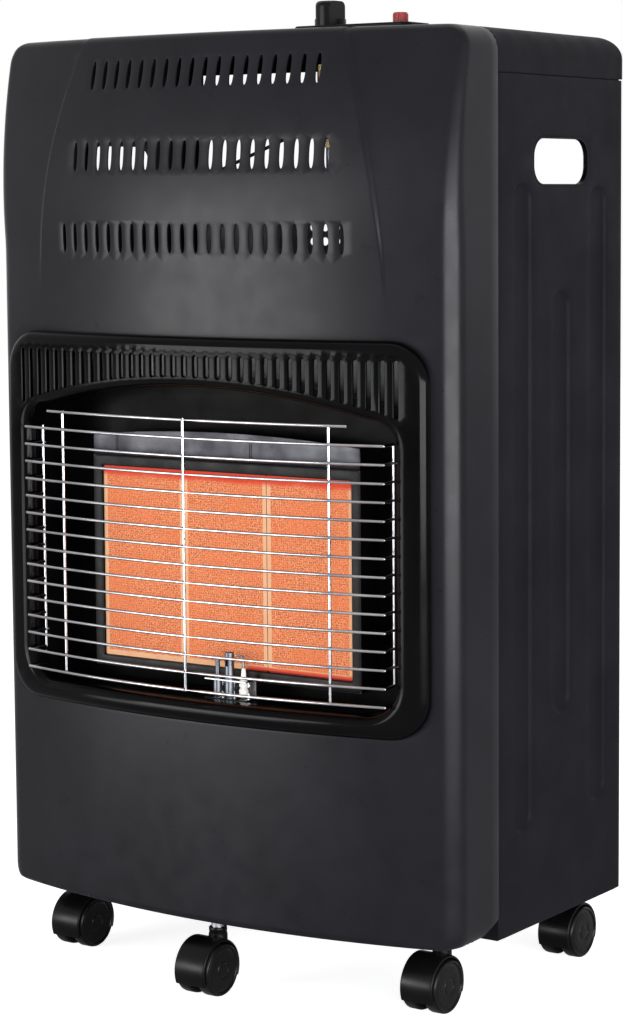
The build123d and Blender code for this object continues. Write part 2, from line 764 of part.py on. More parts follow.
def lid_form(inset=0.0):
    """The lid without its front edge, or with an inset the hollow below it."""
    front_y = lid_front_y - inset
    back_y = rear_y - inset
    crest = top_height - inset
    with BuildPart() as form:
        with BuildSketch(Plane.YZ.offset(-half)) as side_view:
            with BuildLine():
                Polyline((front_y, lid_low), (front_y, crest), (back_y, crest), (back_y, lid_low), close=True)
            make_face()
            fillet(side_view.vertices().group_by(Axis.Y)[-1].sort_by(Axis.X)[-1], lid_corner - inset)
        extrude(amount=cabinet_width)
        add(crown_envelope(inset), mode=Mode.INTERSECT)
    return form.part


with BuildPart() as lid:
    add(lid_form())
    add(lid_form(sheet), mode=Mode.SUBTRACT)
    # front edge behind the moulding
    with BuildSketch(Plane.XY.offset(lid_low)):
        with BuildLine():
            lid_line(seam_gap)
            edge_y = seam_y + seam_gap
            Polyline((half, edge_y), (half, ahead_y), (-half, ahead_y), (-half, edge_y))
        make_face()
    extrude(amount=lid_depth, mode=Mode.SUBTRACT)
    # the back stays open below the rear lip
    with BuildSketch(Plane.XY.offset(lid_low)):
        with Locations((0, rear_y)):
            Rectangle(cabinet_width - 2 * flange_width - 2, 4 * sheet)
    extrude(amount=top_height - lid_rear_lip - lid_low, mode=Mode.SUBTRACT)
    # tongues behind the upper edges of the side panels
    with BuildSketch(Plane.XZ.offset(-seam_y - seam_gap - 3 * sheet)):
        for side in (-1, 1):
            tongue_x = side * (half - 1.5 * sheet - fit_gap)
            with Locations((tongue_x, lid_low + (sheet - lid_tongue) / 2)):
                Rectangle(sheet, lid_tongue + sheet)
            with Locations((side * (half - sheet - fit_gap / 2), lid_low + sheet / 2)):
                Rectangle(2 * sheet + fit_gap, sheet)
    extrude(amount=-(cabinet_depth - seam_gap - 6 * sheet))
    # holes for the gas tap and the igniter
    with BuildSketch(Plane.XY.offset(top_height - 2 * sheet)):
        with Locations((knob_x, control_y)):
            Circle(valve_neck_radius + fit_gap)
        with Locations((button_x, control_y)):
            Circle(button_radius + fit_gap)
    extrude(amount=3 * sheet, mode=Mode.SUBTRACT)
finish(lid, "lid")

# ------------------------------------------------------------------ controls
plate_top = top_height + plate_thickness

with BuildPart() as control_plate:
    plate_x = (knob_x - knob_radius + button_x + button_radius) / 2
    with BuildSketch(Plane.XY.offset(top_height)):
        with Locations((plate_x, control_y)):
            RectangleRounded(plate_length, plate_depth, plate_corner)
    extrude(amount=plate_thickness)
    fillet(control_plate.faces().sort_by(Axis.Z)[-1].edges(), 1.2)
    # hole that the knob is pressed into
    with BuildSketch(Plane.XY.offset(top_height)):
        with Locations((knob_x, control_y)):
            Circle(knob_radius + fit_gap)
        with Locations((button_x, control_y)):
            Circle(button_radius + fit_gap)
    extrude(amount=plate_thickness, mode=Mode.SUBTRACT)
finish(control_plate, "control_plate")

knob_low = top_height + knob_travel + fit_gap
knob_top = knob_low + knob_height
spindle_top = knob_top - 5.0
neck_top = top_height - fit_gap
valve_top = neck_top - valve_neck_length
valve_low = valve_top - valve_length
plug_length = valve_length / 2

with BuildPart() as knob:
    with BuildSketch(Plane.XY.offset(knob_low)):
        with Locations((knob_x, control_y)):
            Circle(knob_radius)
    extrude(amount=knob_height)
    fillet(knob.faces().sort_by(Axis.Z)[-1].edges(), knob_shoulder)
    # two flats that leave a grip above the skirt
    with BuildSketch(Plane.XY.offset(knob_low + knob_skirt)):
        with Locations((knob_x - knob_radius, control_y), (knob_x + knob_radius, control_y)):
            Rectangle(2 * knob_radius - grip_width, 2 * knob_radius)
    extrude(amount=knob_height, mode=Mode.SUBTRACT)
    with BuildSketch(Plane.XY.offset(knob_low)):
        with Locations((knob_x, control_y)):
            Circle(spindle_radius)
    extrude(amount=spindle_top - knob_low, mode=Mode.SUBTRACT)
finish(knob, "control_knob")

with BuildPart() as spindle:
    with BuildSketch(Plane.XY.offset(valve_top - plug_length / 2)):
        with Locations((knob_x, control_y)):
            Circle(spindle_radius)
    extrude(amount=spindle_top - valve_top + plug_length / 2)
finish(spindle, "valve_spindle")

with BuildPart() as plug:
    with BuildSketch(Plane.XY.offset(valve_top - plug_length)):
        with Locations((knob_x, control_y)):
            Circle(plug_radius)
    extrude(amount=plug_length)
    with BuildSketch(Plane.XY.offset(valve_top)):
        with Locations((knob_x, control_y)):
            Circle(spindle_radius + running_gap)
    extrude(amount=-plug_length / 2 - knob_travel - 1, mode=Mode.SUBTRACT)
finish(plug, "valve_plug")

with BuildPart() as valve:
    with BuildSketch(Plane.XY.offset(valve_low)):
        with Locations((knob_x, control_y)):
            RectangleRounded(valve_size, valve_size, 3)
    extrude(amount=valve_length)
    with BuildSketch(Plane.XY.offset(valve_top)):
        with Locations((knob_x, control_y)):
            Circle(valve_neck_radius)
    extrude(amount=valve_neck_length)
    with BuildSketch(Plane.XY.offset(valve_top)):
        with Locations((knob_x, control_y)):
            Circle(spindle_radius + running_gap)
    extrude(amount=valve_neck_length, mode=Mode.SUBTRACT)
    with BuildSketch(Plane.XY.offset(valve_top)):
        with Locations((knob_x, control_y)):
            Circle(plug_radius + running_gap)
    extrude(amount=-plug_length - fit_gap, mode=Mode.SUBTRACT)
finish(valve, "gas_tap")

with BuildPart() as nozzle:
    nozzle_z = valve_low + valve_length / 4
    with BuildSketch(Plane.XZ.offset(-control_y - valve_size / 2)):
        with Locations((knob_x, nozzle_z)):
            RegularPolygon(nozzle_radius + 3, 6)
    extrude(amount=-nozzle_collar)
    with BuildSketch(Plane.XZ.offset(-control_y - valve_size / 2 - nozzle_collar)):
        with Locations((knob_x, nozzle_z)):
            Circle(nozzle_radius)
    extrude(amount=-nozzle_length)
    with BuildSketch(Plane.XZ.offset(-control_y - valve_size / 2)):
        with Locations((knob_x, nozzle_z)):
            Circle(nozzle_radius - 1.5)
    extrude(amount=-nozzle_length - nozzle_collar, mode=Mode.SUBTRACT)
finish(nozzle, "hose_nozzle")

button_top = plate_top + button_height
piezo_top = top_height - sheet - fit_gap
with BuildPart() as button:
    button_low = piezo_top - button_travel
    with BuildSketch(Plane.XY.offset(button_low)):
        with Locations((button_x, control_y)):
            Circle(button_radius - rib_radius)
    extrude(amount=button_top - button_low)
    # grip ribs that stay above the igniter when the button is pressed
    rib_low = piezo_top + button_travel + fit_gap
    with BuildSketch(Plane.XY.offset(rib_low)):
        with Locations((button_x, control_y)):
            Circle(button_radius - rib_radius)
            with PolarLocations(button_radius - rib_radius, button_ribs):
                Circle(rib_radius)
    extrude(amount=button_top - rib_set_down - rib_low)
    fillet(button.faces().sort_by(Axis.Z)[-1].edges(), 0.8)
finish(button, "igniter_button")

with BuildPart() as piezo:
    with BuildSketch(Plane.XY.offset(piezo_top - piezo_length)):
        with Locations((button_x, control_y)):
            Circle(piezo_radius)
    extrude(amount=piezo_length)
    with BuildSketch(Plane.XY.offset(piezo_top)):
        with Locations((button_x, control_y)):
            Circle(button_radius - rib_radius + running_gap)
    extrude(amount=-2 * button_travel - fit_gap, mode=Mode.SUBTRACT)
finish(piezo, "piezo_igniter")


# ------------------------------------------------------------------ pipes and leads
def tube(name, points, outer, bend, wall=0.0):
    """A pipe or lead along straight runs that are joined by tangent arcs."""
    with BuildPart() as piece:
        with BuildLine() as path:
            FilletPolyline(*points, radius=bend)
        with BuildSketch(Plane(origin=path.line @ 0, z_dir=path.line % 0)):
            Circle(outer)
            if wall:
                Circle(outer - wall, mode=Mode.SUBTRACT)
        sweep(path=path.line)
    finish(piece, name)


pipe_side = housing_half + 24.0
low_run = manifold_z - 30.0
tube(
    "burner_pipe",
    [
        (knob_x, control_y, valve_low),
        (knob_x, control_y, valve_low - 45),
        (pipe_side, pipe_y, valve_low - 90),
        (pipe_side, pipe_y, manifold_z + 40),
        (pipe_side, port_y, manifold_z),
        (manifold_half, port_y, manifold_z),
    ],
    4.0,
    14.0,
    sheet,
)
tube(
    "pilot_pipe",
    [
        (knob_x + valve_size / 2, control_y, valve_low + 8),
        (knob_x + valve_size / 2 + 16, control_y, valve_low + 8),
        (pipe_side + 10, control_y, valve_low - 60),
        (pipe_side + 10, pipe_y, low_run + 40),
        (pipe_side - 20, pipe_y, low_run),
        (pilot_x + 12, pipe_y, low_run),
        (pilot_x, pilot_y, low_run + 16),
        (pilot_x, pilot_y, chamber_floor + 2 * sheet),
    ],
    2.0,
    6.0,
)
tube(
    "thermocouple_lead",
    [
        (knob_x - valve_size / 2, control_y, valve_low + 8),
        (knob_x - valve_size / 2 - 30, control_y, valve_low + 8),
        (-pipe_side, pipe_y, valve_low - 60),
        (-pipe_side, pipe_y, low_run),
        (thermocouple_x - 12, pipe_y, low_run - 12),
        (thermocouple_x, pilot_y, low_run - 4),
        (thermocouple_x, pilot_y, chamber_floor + 2 * sheet),
    ],
    1.3,
    6.0,
)
tube(
    "ignition_lead",
    [
        (button_x, control_y, piezo_top - piezo_length),
        (button_x, control_y, piezo_top - piezo_length - 30),
        (pipe_side + 30, pipe_y, valve_low - 70),
        (pipe_side + 30, pipe_y, low_run),
        (pipe_side, pipe_y, low_run - 30),
        (electrode_x + 12, pipe_y, low_run - 30),
        (electrode_x, pilot_y, low_run - 20),
        (electrode_x, pilot_y, chamber_floor + 2 * sheet),
    ],
    1.6,
    8.0,
)

# ------------------------------------------------------------------ heat shield and rear cover
with BuildPart() as heat_shield:
    shield_y = seam_y + seam_gap + sheet
    with BuildSketch(Plane.XY.offset(shield_plate_bottom)):
        with Locations((0, shield_y + sheet / 2)):
            Rectangle(cabinet_width - 2 * sheet - 2 * groove_depth - 2, sheet)
    extrude(amount=shield_plate_top - shield_plate_bottom)
    with BuildSketch(Plane.XY.offset(shield_plate_top - sheet)):
        with Locations((0, shield_y + shield_flange / 2)):
            Rectangle(cabinet_width - 2 * flange_width - 4, shield_flange)
    extrude(amount=sheet)
finish(heat_shield, "heat_shield")

cover_low = base_height + pan_flange + 4.0
with BuildPart() as rear_cover:
    with BuildSketch(Plane.XY.offset(cover_low)) as cover_plan:
        with BuildLine() as cover_line:
            Polyline(
                (-cover_half, rear_y + sheet / 2),
                (-cover_half + cover_flange, rear_y + sheet / 2),
                (-cover_back_half, rear_y + cover_bulge - sheet / 2),
                (cover_back_half, rear_y + cover_bulge - sheet / 2),
                (cover_half - cover_flange, rear_y + sheet / 2),
                (cover_half, rear_y + sheet / 2),
            )
            offset(amount=sheet / 2, kind=Kind.INTERSECTION)
        make_face()
    extrude(amount=cover_top - cover_low)
    with BuildSketch(Plane.XZ.offset(-rear_y - cover_bulge - 1)):
        rows_middle = cover_top - 18 - cover_hole_pitch * (cover_hole_rows - 1) / 2
        with Locations((0, rows_middle)):
            with GridLocations(cover_hole_pitch, cover_hole_pitch, cover_hole_columns, cover_hole_rows):
                Circle(cover_hole_radius)
    extrude(amount=3 * sheet, mode=Mode.SUBTRACT)
finish(rear_cover, "rear_cover")

# ------------------------------------------------------------------ base pan
pan_half = panel_inner - fit_gap
pan_front = seam_y + seam_gap
nose_z = base_height + pan_step
nose_y = crown_y + front_wall + seam_gap

with BuildPart() as base_pan:
    # floor with the trapezoid under the rear cover
    with BuildSketch(Plane.XY.offset(base_height)):
        with BuildLine():
            Polyline(
                (-pan_half, pan_front),
                (pan_half, pan_front),
                (pan_half, rear_y - sheet - fit_gap),
                (cover_half - 10, rear_y - sheet - fit_gap),
                (cover_half - 10, rear_y),
                (cover_back_half - 2, rear_y + cover_bulge - 2),
                (-cover_back_half + 2, rear_y + cover_bulge - 2),
                (-cover_half + 10, rear_y),
                (-cover_half + 10, rear_y - sheet - fit_gap),
                (-pan_half, rear_y - sheet - fit_gap),
                close=True,
            )
        make_face()
    extrude(amount=sheet)
    # upturned edges
    with BuildSketch(Plane.XY.offset(base_height)):
        side_middle = (pan_front + rear_y - sheet - fit_gap) / 2
        side_length = rear_y - sheet - fit_gap - pan_front
        with Locations((-pan_half + sheet / 2, side_middle), (pan_half - sheet / 2, side_middle)):
            Rectangle(sheet, side_length)
        with Locations((0, rear_y + cover_bulge - 2 - sheet / 2)):
            Rectangle(2 * cover_back_half - 4, sheet)
        with Locations((0, pan_front + sheet / 2)):
            Rectangle(2 * pan_half, sheet)
    extrude(amount=pan_flange)
    # raised nose that carries the middle caster
    with BuildSketch(Plane.XY.offset(nose_z)):
        with BuildLine():
            nose_half = half - front_wall - fit_gap - front_corner
            nose_fall = bow(bow_radius, nose_half)
            ThreePointArc((-nose_half, nose_y + nose_fall), (0, nose_y), (nose_half, nose_y + nose_fall))
            Polyline(
                (nose_half, nose_y + nose_fall),
                (nose_half, pan_front + sheet),
                (-nose_half, pan_front + sheet),
                (-nose_half, nose_y + nose_fall),
            )
        make_face()
    extrude(amount=sheet)
    # holes for the caster sockets
    with BuildSketch(Plane.XY.offset(base_height)):
        rear_places = [(-rear_side, rear_y - rear_stem), (rear_side, rear_y - rear_stem)]
        with Locations(*rear_places):
            Circle(socket_radius)
    extrude(amount=sheet, mode=Mode.SUBTRACT)
    with BuildSketch(Plane.XY.offset(nose_z)):
        nose_places = [
            (-front_side, seam_y - front_stem),
            (front_side, seam_y - front_stem),
            (0, seam_y - nose_stem),
        ]
        with Locations(*nose_places):
            Circle(socket_radius)
    extrude(amount=sheet, mode=Mode.SUBTRACT)
finish(base_pan, "base_pan")

with BuildPart() as sockets:
    for floor_z, places in ((base_height, rear_places), (nose_z, nose_places)):
        with BuildSketch(Plane.XY.offset(floor_z)):
            with Locations(*places):
                Circle(socket_radius)
                Circle(stem_radius + running_gap, mode=Mode.SUBTRACT)
        extrude(amount=socket_height - 2)
        with BuildSketch(Plane.XY.offset(floor_z + socket_height - 2)):
            with Locations(*places):
                Circle(socket_radius)
        extrude(amount=2)
finish(sockets, "caster_sockets")

# ------------------------------------------------------------------ casters
wheel_inner = hub_web / 2 + fit_gap
wheel_outer = wheel_inner + wheel_width
hood_half = wheel_outer - 1.5
boss_top = wheel_radius + boss_height


def caster(name, place, mount_height):
    """One swivel caster: hood, stem, axle and a pair of wheels."""
    x, stem_y = place
    axle_y = stem_y - caster_trail
    across = Plane.YZ.offset(x)
    with BuildPart() as hood:
        with BuildSketch(across):
            with Locations((axle_y, wheel_radius)):
                Circle(hood_radius)
        extrude(amount=hood_half, both=True)
        with BuildSketch(Plane.XY.offset(wheel_radius)):
            with Locations((x, stem_y)):
                Circle(boss_radius)
        extrude(amount=boss_top - wheel_radius)
        fillet(hood.faces().sort_by(Axis.Z)[-1].edges(), 1.5)
        for side in (-1, 1):
            with BuildSketch(Plane.YZ.offset(x + side * hub_web / 2)):
                with Locations((axle_y, wheel_radius)):
                    Circle(wheel_radius + hood_gap)
            extrude(amount=side * wheel_width * 2, mode=Mode.SUBTRACT)
        with BuildSketch(Plane.XY.offset(hood_clearance)):
            with Locations((x, axle_y)):
                Rectangle(2 * wheel_outer, 4 * wheel_radius)
        extrude(amount=-2 * wheel_radius, mode=Mode.SUBTRACT)
        with BuildSketch(across):
            with Locations((axle_y, wheel_radius)):
                Circle(axle_radius + running_gap)
        extrude(amount=hub_web, both=True, mode=Mode.SUBTRACT)
        with BuildSketch(Plane.XY.offset(wheel_radius + stem_seat)):
            with Locations((x, stem_y)):
                Circle(stem_radius)
        extrude(amount=boss_height, mode=Mode.SUBTRACT)
    finish(hood, f"caster_{name}_hood")

    with BuildPart() as stem:
        with BuildSketch(Plane.XY.offset(wheel_radius + stem_seat)):
            with Locations((x, stem_y)):
                Circle(stem_radius)
        extrude(amount=mount_height + socket_height - 4 - wheel_radius - stem_seat)
        with BuildSketch(Plane.XY.offset(mount_height - fit_gap)):
            with Locations((x, stem_y)):
                Circle(stem_radius + stem_collar)
        extrude(amount=-stem_collar)
    finish(stem, f"caster_{name}_stem")

    with BuildPart() as axle:
        with BuildSketch(across):
            with Locations((axle_y, wheel_radius)):
                Circle(axle_radius)
        extrude(amount=wheel_outer - 2.0, both=True)
    finish(axle, f"caster_{name}_axle")

    with BuildPart() as wheel:
        with BuildSketch(Plane.XY.offset(wheel_radius)) as wheel_profile:
            with BuildLine():
                Polyline(
                    (x + wheel_inner, axle_y),
                    (x + wheel_inner, axle_y + wheel_radius),
                    (x + wheel_outer, axle_y + wheel_radius),
                    (x + wheel_outer, axle_y + wheel_radius - 3.0),
                    (x + wheel_outer - 0.8, axle_y + wheel_radius - 3.6),
                    (x + wheel_outer - 0.8, axle_y),
                    close=True,
                )
            make_face()
            rim = wheel_profile.vertices().group_by(Axis.Y)[-1]
            fillet(rim, 1.6)
        revolve(axis=Axis((x, axle_y, wheel_radius), (1, 0, 0)))
        with BuildSketch(across):
            with Locations((axle_y, wheel_radius)):
                Circle(axle_radius)
        extrude(amount=wheel_outer - 2.0, mode=Mode.SUBTRACT)
        mirror(about=across)
    finish(wheel, f"caster_{name}_wheels")


caster("front_left", nose_places[0], nose_z)
caster("front_right", nose_places[1], nose_z)
caster("middle", nose_places[2], nose_z)
caster("rear_left", rear_places[0], base_height)
caster("rear_right", rear_places[1], base_height)

# ------------------------------------------------------------------ screws
with BuildPart() as screws:
    screw_y = rear_y + sheet
    screw_x = cover_half - cover_flange / 2
    with BuildSketch(Plane.XZ.offset(-screw_y)):
        screw_heights = [cover_low + 30, (cover_low + cover_top) / 2, cover_top - 20]
        with Locations(*[(side * screw_x, z) for side in (-1, 1) for z in screw_heights]):
            Circle(3.2)
    extrude(amount=-2.0)
    fillet(screws.faces().sort_by(Axis.Y)[-1].edges(), 0.8)
finish(screws, "cover_screws")
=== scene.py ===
"""Looks of the gas cabinet heater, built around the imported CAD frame. Metres; lengths named MM are in millimetres."""

import json
import math

import bmesh
import bpy
from mathutils import Matrix, Vector
from mathutils.geometry import delaunay_2d_cdt


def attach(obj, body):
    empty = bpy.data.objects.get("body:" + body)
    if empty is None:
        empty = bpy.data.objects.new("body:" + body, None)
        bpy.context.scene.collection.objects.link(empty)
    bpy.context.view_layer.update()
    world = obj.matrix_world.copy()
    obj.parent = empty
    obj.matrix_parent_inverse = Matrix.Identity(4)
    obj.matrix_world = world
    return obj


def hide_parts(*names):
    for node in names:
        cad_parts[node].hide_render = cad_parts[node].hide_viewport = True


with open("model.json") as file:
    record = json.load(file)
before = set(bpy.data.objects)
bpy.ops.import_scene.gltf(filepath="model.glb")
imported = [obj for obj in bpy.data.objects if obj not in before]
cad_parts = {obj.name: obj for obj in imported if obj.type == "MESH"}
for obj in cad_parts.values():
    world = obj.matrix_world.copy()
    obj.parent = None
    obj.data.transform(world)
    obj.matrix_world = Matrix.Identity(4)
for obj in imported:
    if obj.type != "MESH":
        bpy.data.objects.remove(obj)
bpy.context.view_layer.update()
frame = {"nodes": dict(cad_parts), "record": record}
nodes = frame["nodes"]

MM = 0.001

# ------------------------------------------------------------------ sizes, in millimetres
HALF = 210.0  # half the cabinet's width
SEAM_Y = -67.5  # joint between the front moulding and the side panels
REAR_Y = 116.5  # rear edge of the side panels
CROWN_Y = -154.5  # crown of the bowed front
FRONT_LOW = 58.0
TOP = 716.0
LID_LOW = 684.0
BASE_LOW = 53.0
BOW_RADIUS = 720.0
TOP_BOW_RADIUS = 960.0
FRONT_CORNER = 17.0
TOP_CORNER = 6.0
LEAN_START = 560.0
LEAN_SET_BACK = 25.0
TOP_SIDE_ROUND = 17.0  # rounding between the flanks and the top
TOP_FRONT_ROUND = 5.5  # rounding between the bow and the top
TOP_STRIP = 18.5  # part of the top that belongs to the moulding, in the middle
FOOT_SIDE_ROUND = 12.0
FOOT_FRONT_ROUND = 3.0
SHEET = 1.2

SLOT_ROWS = ((18, 687.0), (20, 626.6), (22, 566.0))
SLOT_PITCH = 12.1
SLOT_WIDTH = 4.6
SLOT_LENGTH = 22.0

BEZEL_WIDTH = 388.0
BEZEL_BOTTOM = 209.5
BEZEL_TOP = 494.5
BEZEL_CORNER = 30.0
BEZEL_PROUD = 9.0
OPENING_WIDTH = 341.0
OPENING_BOTTOM = 226.0
OPENING_CROWN = 458.0
OPENING_ARCH = 594.0
OPENING_CORNER = 24.0
OPENING_TOP_CORNER = 20.0
VENT_COUNT = 35
VENT_PITCH = 10.1
VENT_WIDTH = 5.0
VENT_EDGE = 0.8  # rounding of the vents' edges
VENT_TOP = 482.0
VENT_ABOVE_ARCH = 5.5

PLAQUE_Y = CROWN_Y + 39.0
PLAQUE_PITCH = 77.4
PLAQUE_LOW = 244.0
PLAQUE_HIGH = 391.0
HOUSING_FRONT = PLAQUE_Y - 2.0
HOUSING_HALF = 123.9
PILOT_Y = PLAQUE_Y - 12.0

WHEEL_RADIUS = 20.0
HOOD_RADIUS = 23.0
HOOD_LOW = 11.0
TRAIL = 14.0  # stem to axle
BOSS_TOP = 48.5
CASTERS = {
    "front_left": (-166.0, SEAM_Y - 8.0),
    "front_right": (166.0, SEAM_Y - 8.0),
    "middle": (0.0, SEAM_Y - 62.0),
    "rear_left": (-177.0, REAR_Y - 11.0),
    "rear_right": (177.0, REAR_Y - 11.0),
}


# ------------------------------------------------------------------ materials
def blank(name):
    """A material with a Principled shader, and its node tree."""
    material = bpy.data.materials.new(name)
    material.use_nodes = True
    tree = material.node_tree
    return material, tree, tree.nodes["Principled BSDF"]


def noise(tree, scale, detail=3.0, roughness=0.5, stretch=(1, 1, 1)):
    """Noise in the object's own coordinates; its features are about 1 / scale metres wide."""
    place = tree.nodes.new("ShaderNodeTexCoord")
    mapping = tree.nodes.new("ShaderNodeMapping")
    mapping.inputs["Scale"].default_value = stretch
    texture = tree.nodes.new("ShaderNodeTexNoise")
    texture.inputs["Scale"].default_value = scale
    texture.inputs["Detail"].default_value = detail
    texture.inputs["Roughness"].default_value = roughness
    tree.links.new(place.outputs["Object"], mapping.inputs["Vector"])
    tree.links.new(mapping.outputs["Vector"], texture.inputs["Vector"])
    return texture.outputs["Fac"]


def ramp(tree, value, low, high, at=(0.35, 0.65)):
    """Colours between low and high over a stretch of the value."""
    node = tree.nodes.new("ShaderNodeValToRGB")
    node.color_ramp.elements[0].position = at[0]
    node.color_ramp.elements[1].position = at[1]
    node.color_ramp.elements[0].color = (*low, 1)
    node.color_ramp.elements[1].color = (*high, 1)
    tree.links.new(value, node.inputs["Fac"])
    return node.outputs["Color"]


def spread(tree, value, low, high):
    """The value spread between two numbers."""
    node = tree.nodes.new("ShaderNodeMapRange")
    node.inputs["From Min"].default_value = 0.3
    node.inputs["From Max"].default_value = 0.7
    node.inputs["To Min"].default_value = low
    node.inputs["To Max"].default_value = high
    tree.links.new(value, node.inputs["Value"])
    return node.outputs["Result"]


def bump(tree, shader, height, strength, distance):
    node = tree.nodes.new("ShaderNodeBump")
    node.inputs["Strength"].default_value = strength
    node.inputs["Distance"].default_value = distance
    tree.links.new(height, node.inputs["Height"])
    tree.links.new(node.outputs["Normal"], shader.inputs["Normal"])


def enamel(name, dark, light, rough, specular=0.5, grain=900.0, grain_height=0.00004):
    """Sprayed enamel or moulded plastic: slight cloudiness, varied gloss and a fine grain."""
    material, tree, shader = blank(name)
    shader.inputs["Specular IOR Level"].default_value = specular
    clouds = noise(tree, 14.0, 4.0)
    tree.links.new(ramp(tree, clouds, dark, light), shader.inputs["Base Color"])
    tree.links.new(spread(tree, noise(tree, 60.0, 3.0), rough[0], rough[1]), shader.inputs["Roughness"])
    bump(tree, shader, noise(tree, grain, 2.0), 0.35, grain_height)
    return material


def metal(name, dark, light, rough, brush=(1, 1, 1), grain=300.0, grain_height=0.00002):
    """Bare or plated metal with fine brushing or grain."""
    material, tree, shader = blank(name)
    shader.inputs["Metallic"].default_value = 1.0
    grain_value = noise(tree, grain, 4.0, 0.6, brush)
    tree.links.new(ramp(tree, noise(tree, 30.0, 3.0), dark, light), shader.inputs["Base Color"])
    tree.links.new(spread(tree, grain_value, rough[0], rough[1]), shader.inputs["Roughness"])
    bump(tree, shader, grain_value, 0.3, grain_height)
    return material


def galvanised(name):
    """Zinc with its spangle: flat crystals of slightly different grey."""
    material, tree, shader = blank(name)
    shader.inputs["Metallic"].default_value = 0.7
    place = tree.nodes.new("ShaderNodeTexCoord")
    cells = tree.nodes.new("ShaderNodeTexVoronoi")
    cells.inputs["Scale"].default_value = 110.0
    tree.links.new(place.outputs["Object"], cells.inputs["Vector"])
    grey = tree.nodes.new("ShaderNodeRGBToBW")
    tree.links.new(cells.outputs["Color"], grey.inputs["Color"])
    tree.links.new(ramp(tree, grey.outputs["Val"], (0.25, 0.255, 0.26), (0.34, 0.345, 0.355), (0.2, 0.8)),
                   shader.inputs["Base Color"])
    tree.links.new(spread(tree, grey.outputs["Val"], 0.48, 0.62), shader.inputs["Roughness"])
    bump(tree, shader, noise(tree, 500.0), 0.2, 0.00003)
    return material


def maths(tree, operation, first, second=None):
    """A Math node; each input is an output socket or a number."""
    node = tree.nodes.new("ShaderNodeMath")
    node.operation = operation
    for index, value in enumerate((first, second)):
        if isinstance(value, (int, float)):
            node.inputs[index].default_value = value
        elif value is not None:
            tree.links.new(value, node.inputs[index])
    return node.outputs["Value"]


def band(tree, value, start, full):
    """Nothing up to start, one from full on, with a smooth passage."""
    node = tree.nodes.new("ShaderNodeMapRange")
    node.interpolation_type = "SMOOTHSTEP"
    node.inputs["From Min"].default_value = min(start, full)
    node.inputs["From Max"].default_value = max(start, full)
    if start > full:
        node.inputs["To Min"].default_value = 1.0
        node.inputs["To Max"].default_value = 0.0
    tree.links.new(value, node.inputs["Value"])
    return node.outputs["Result"]


def layer(tree, share, below, above):
    """Lay a colour over another one; each is an output socket or a colour."""
    node = tree.nodes.new("ShaderNodeMix")
    node.data_type = "RGBA"
    tree.links.new(share, node.inputs["Factor"])
    for socket, colour in (("A", below), ("B", above)):
        if isinstance(colour, tuple):
            node.inputs[socket].default_value = (*colour, 1)
        else:
            tree.links.new(colour, node.inputs[socket])
    return node.outputs["Result"]


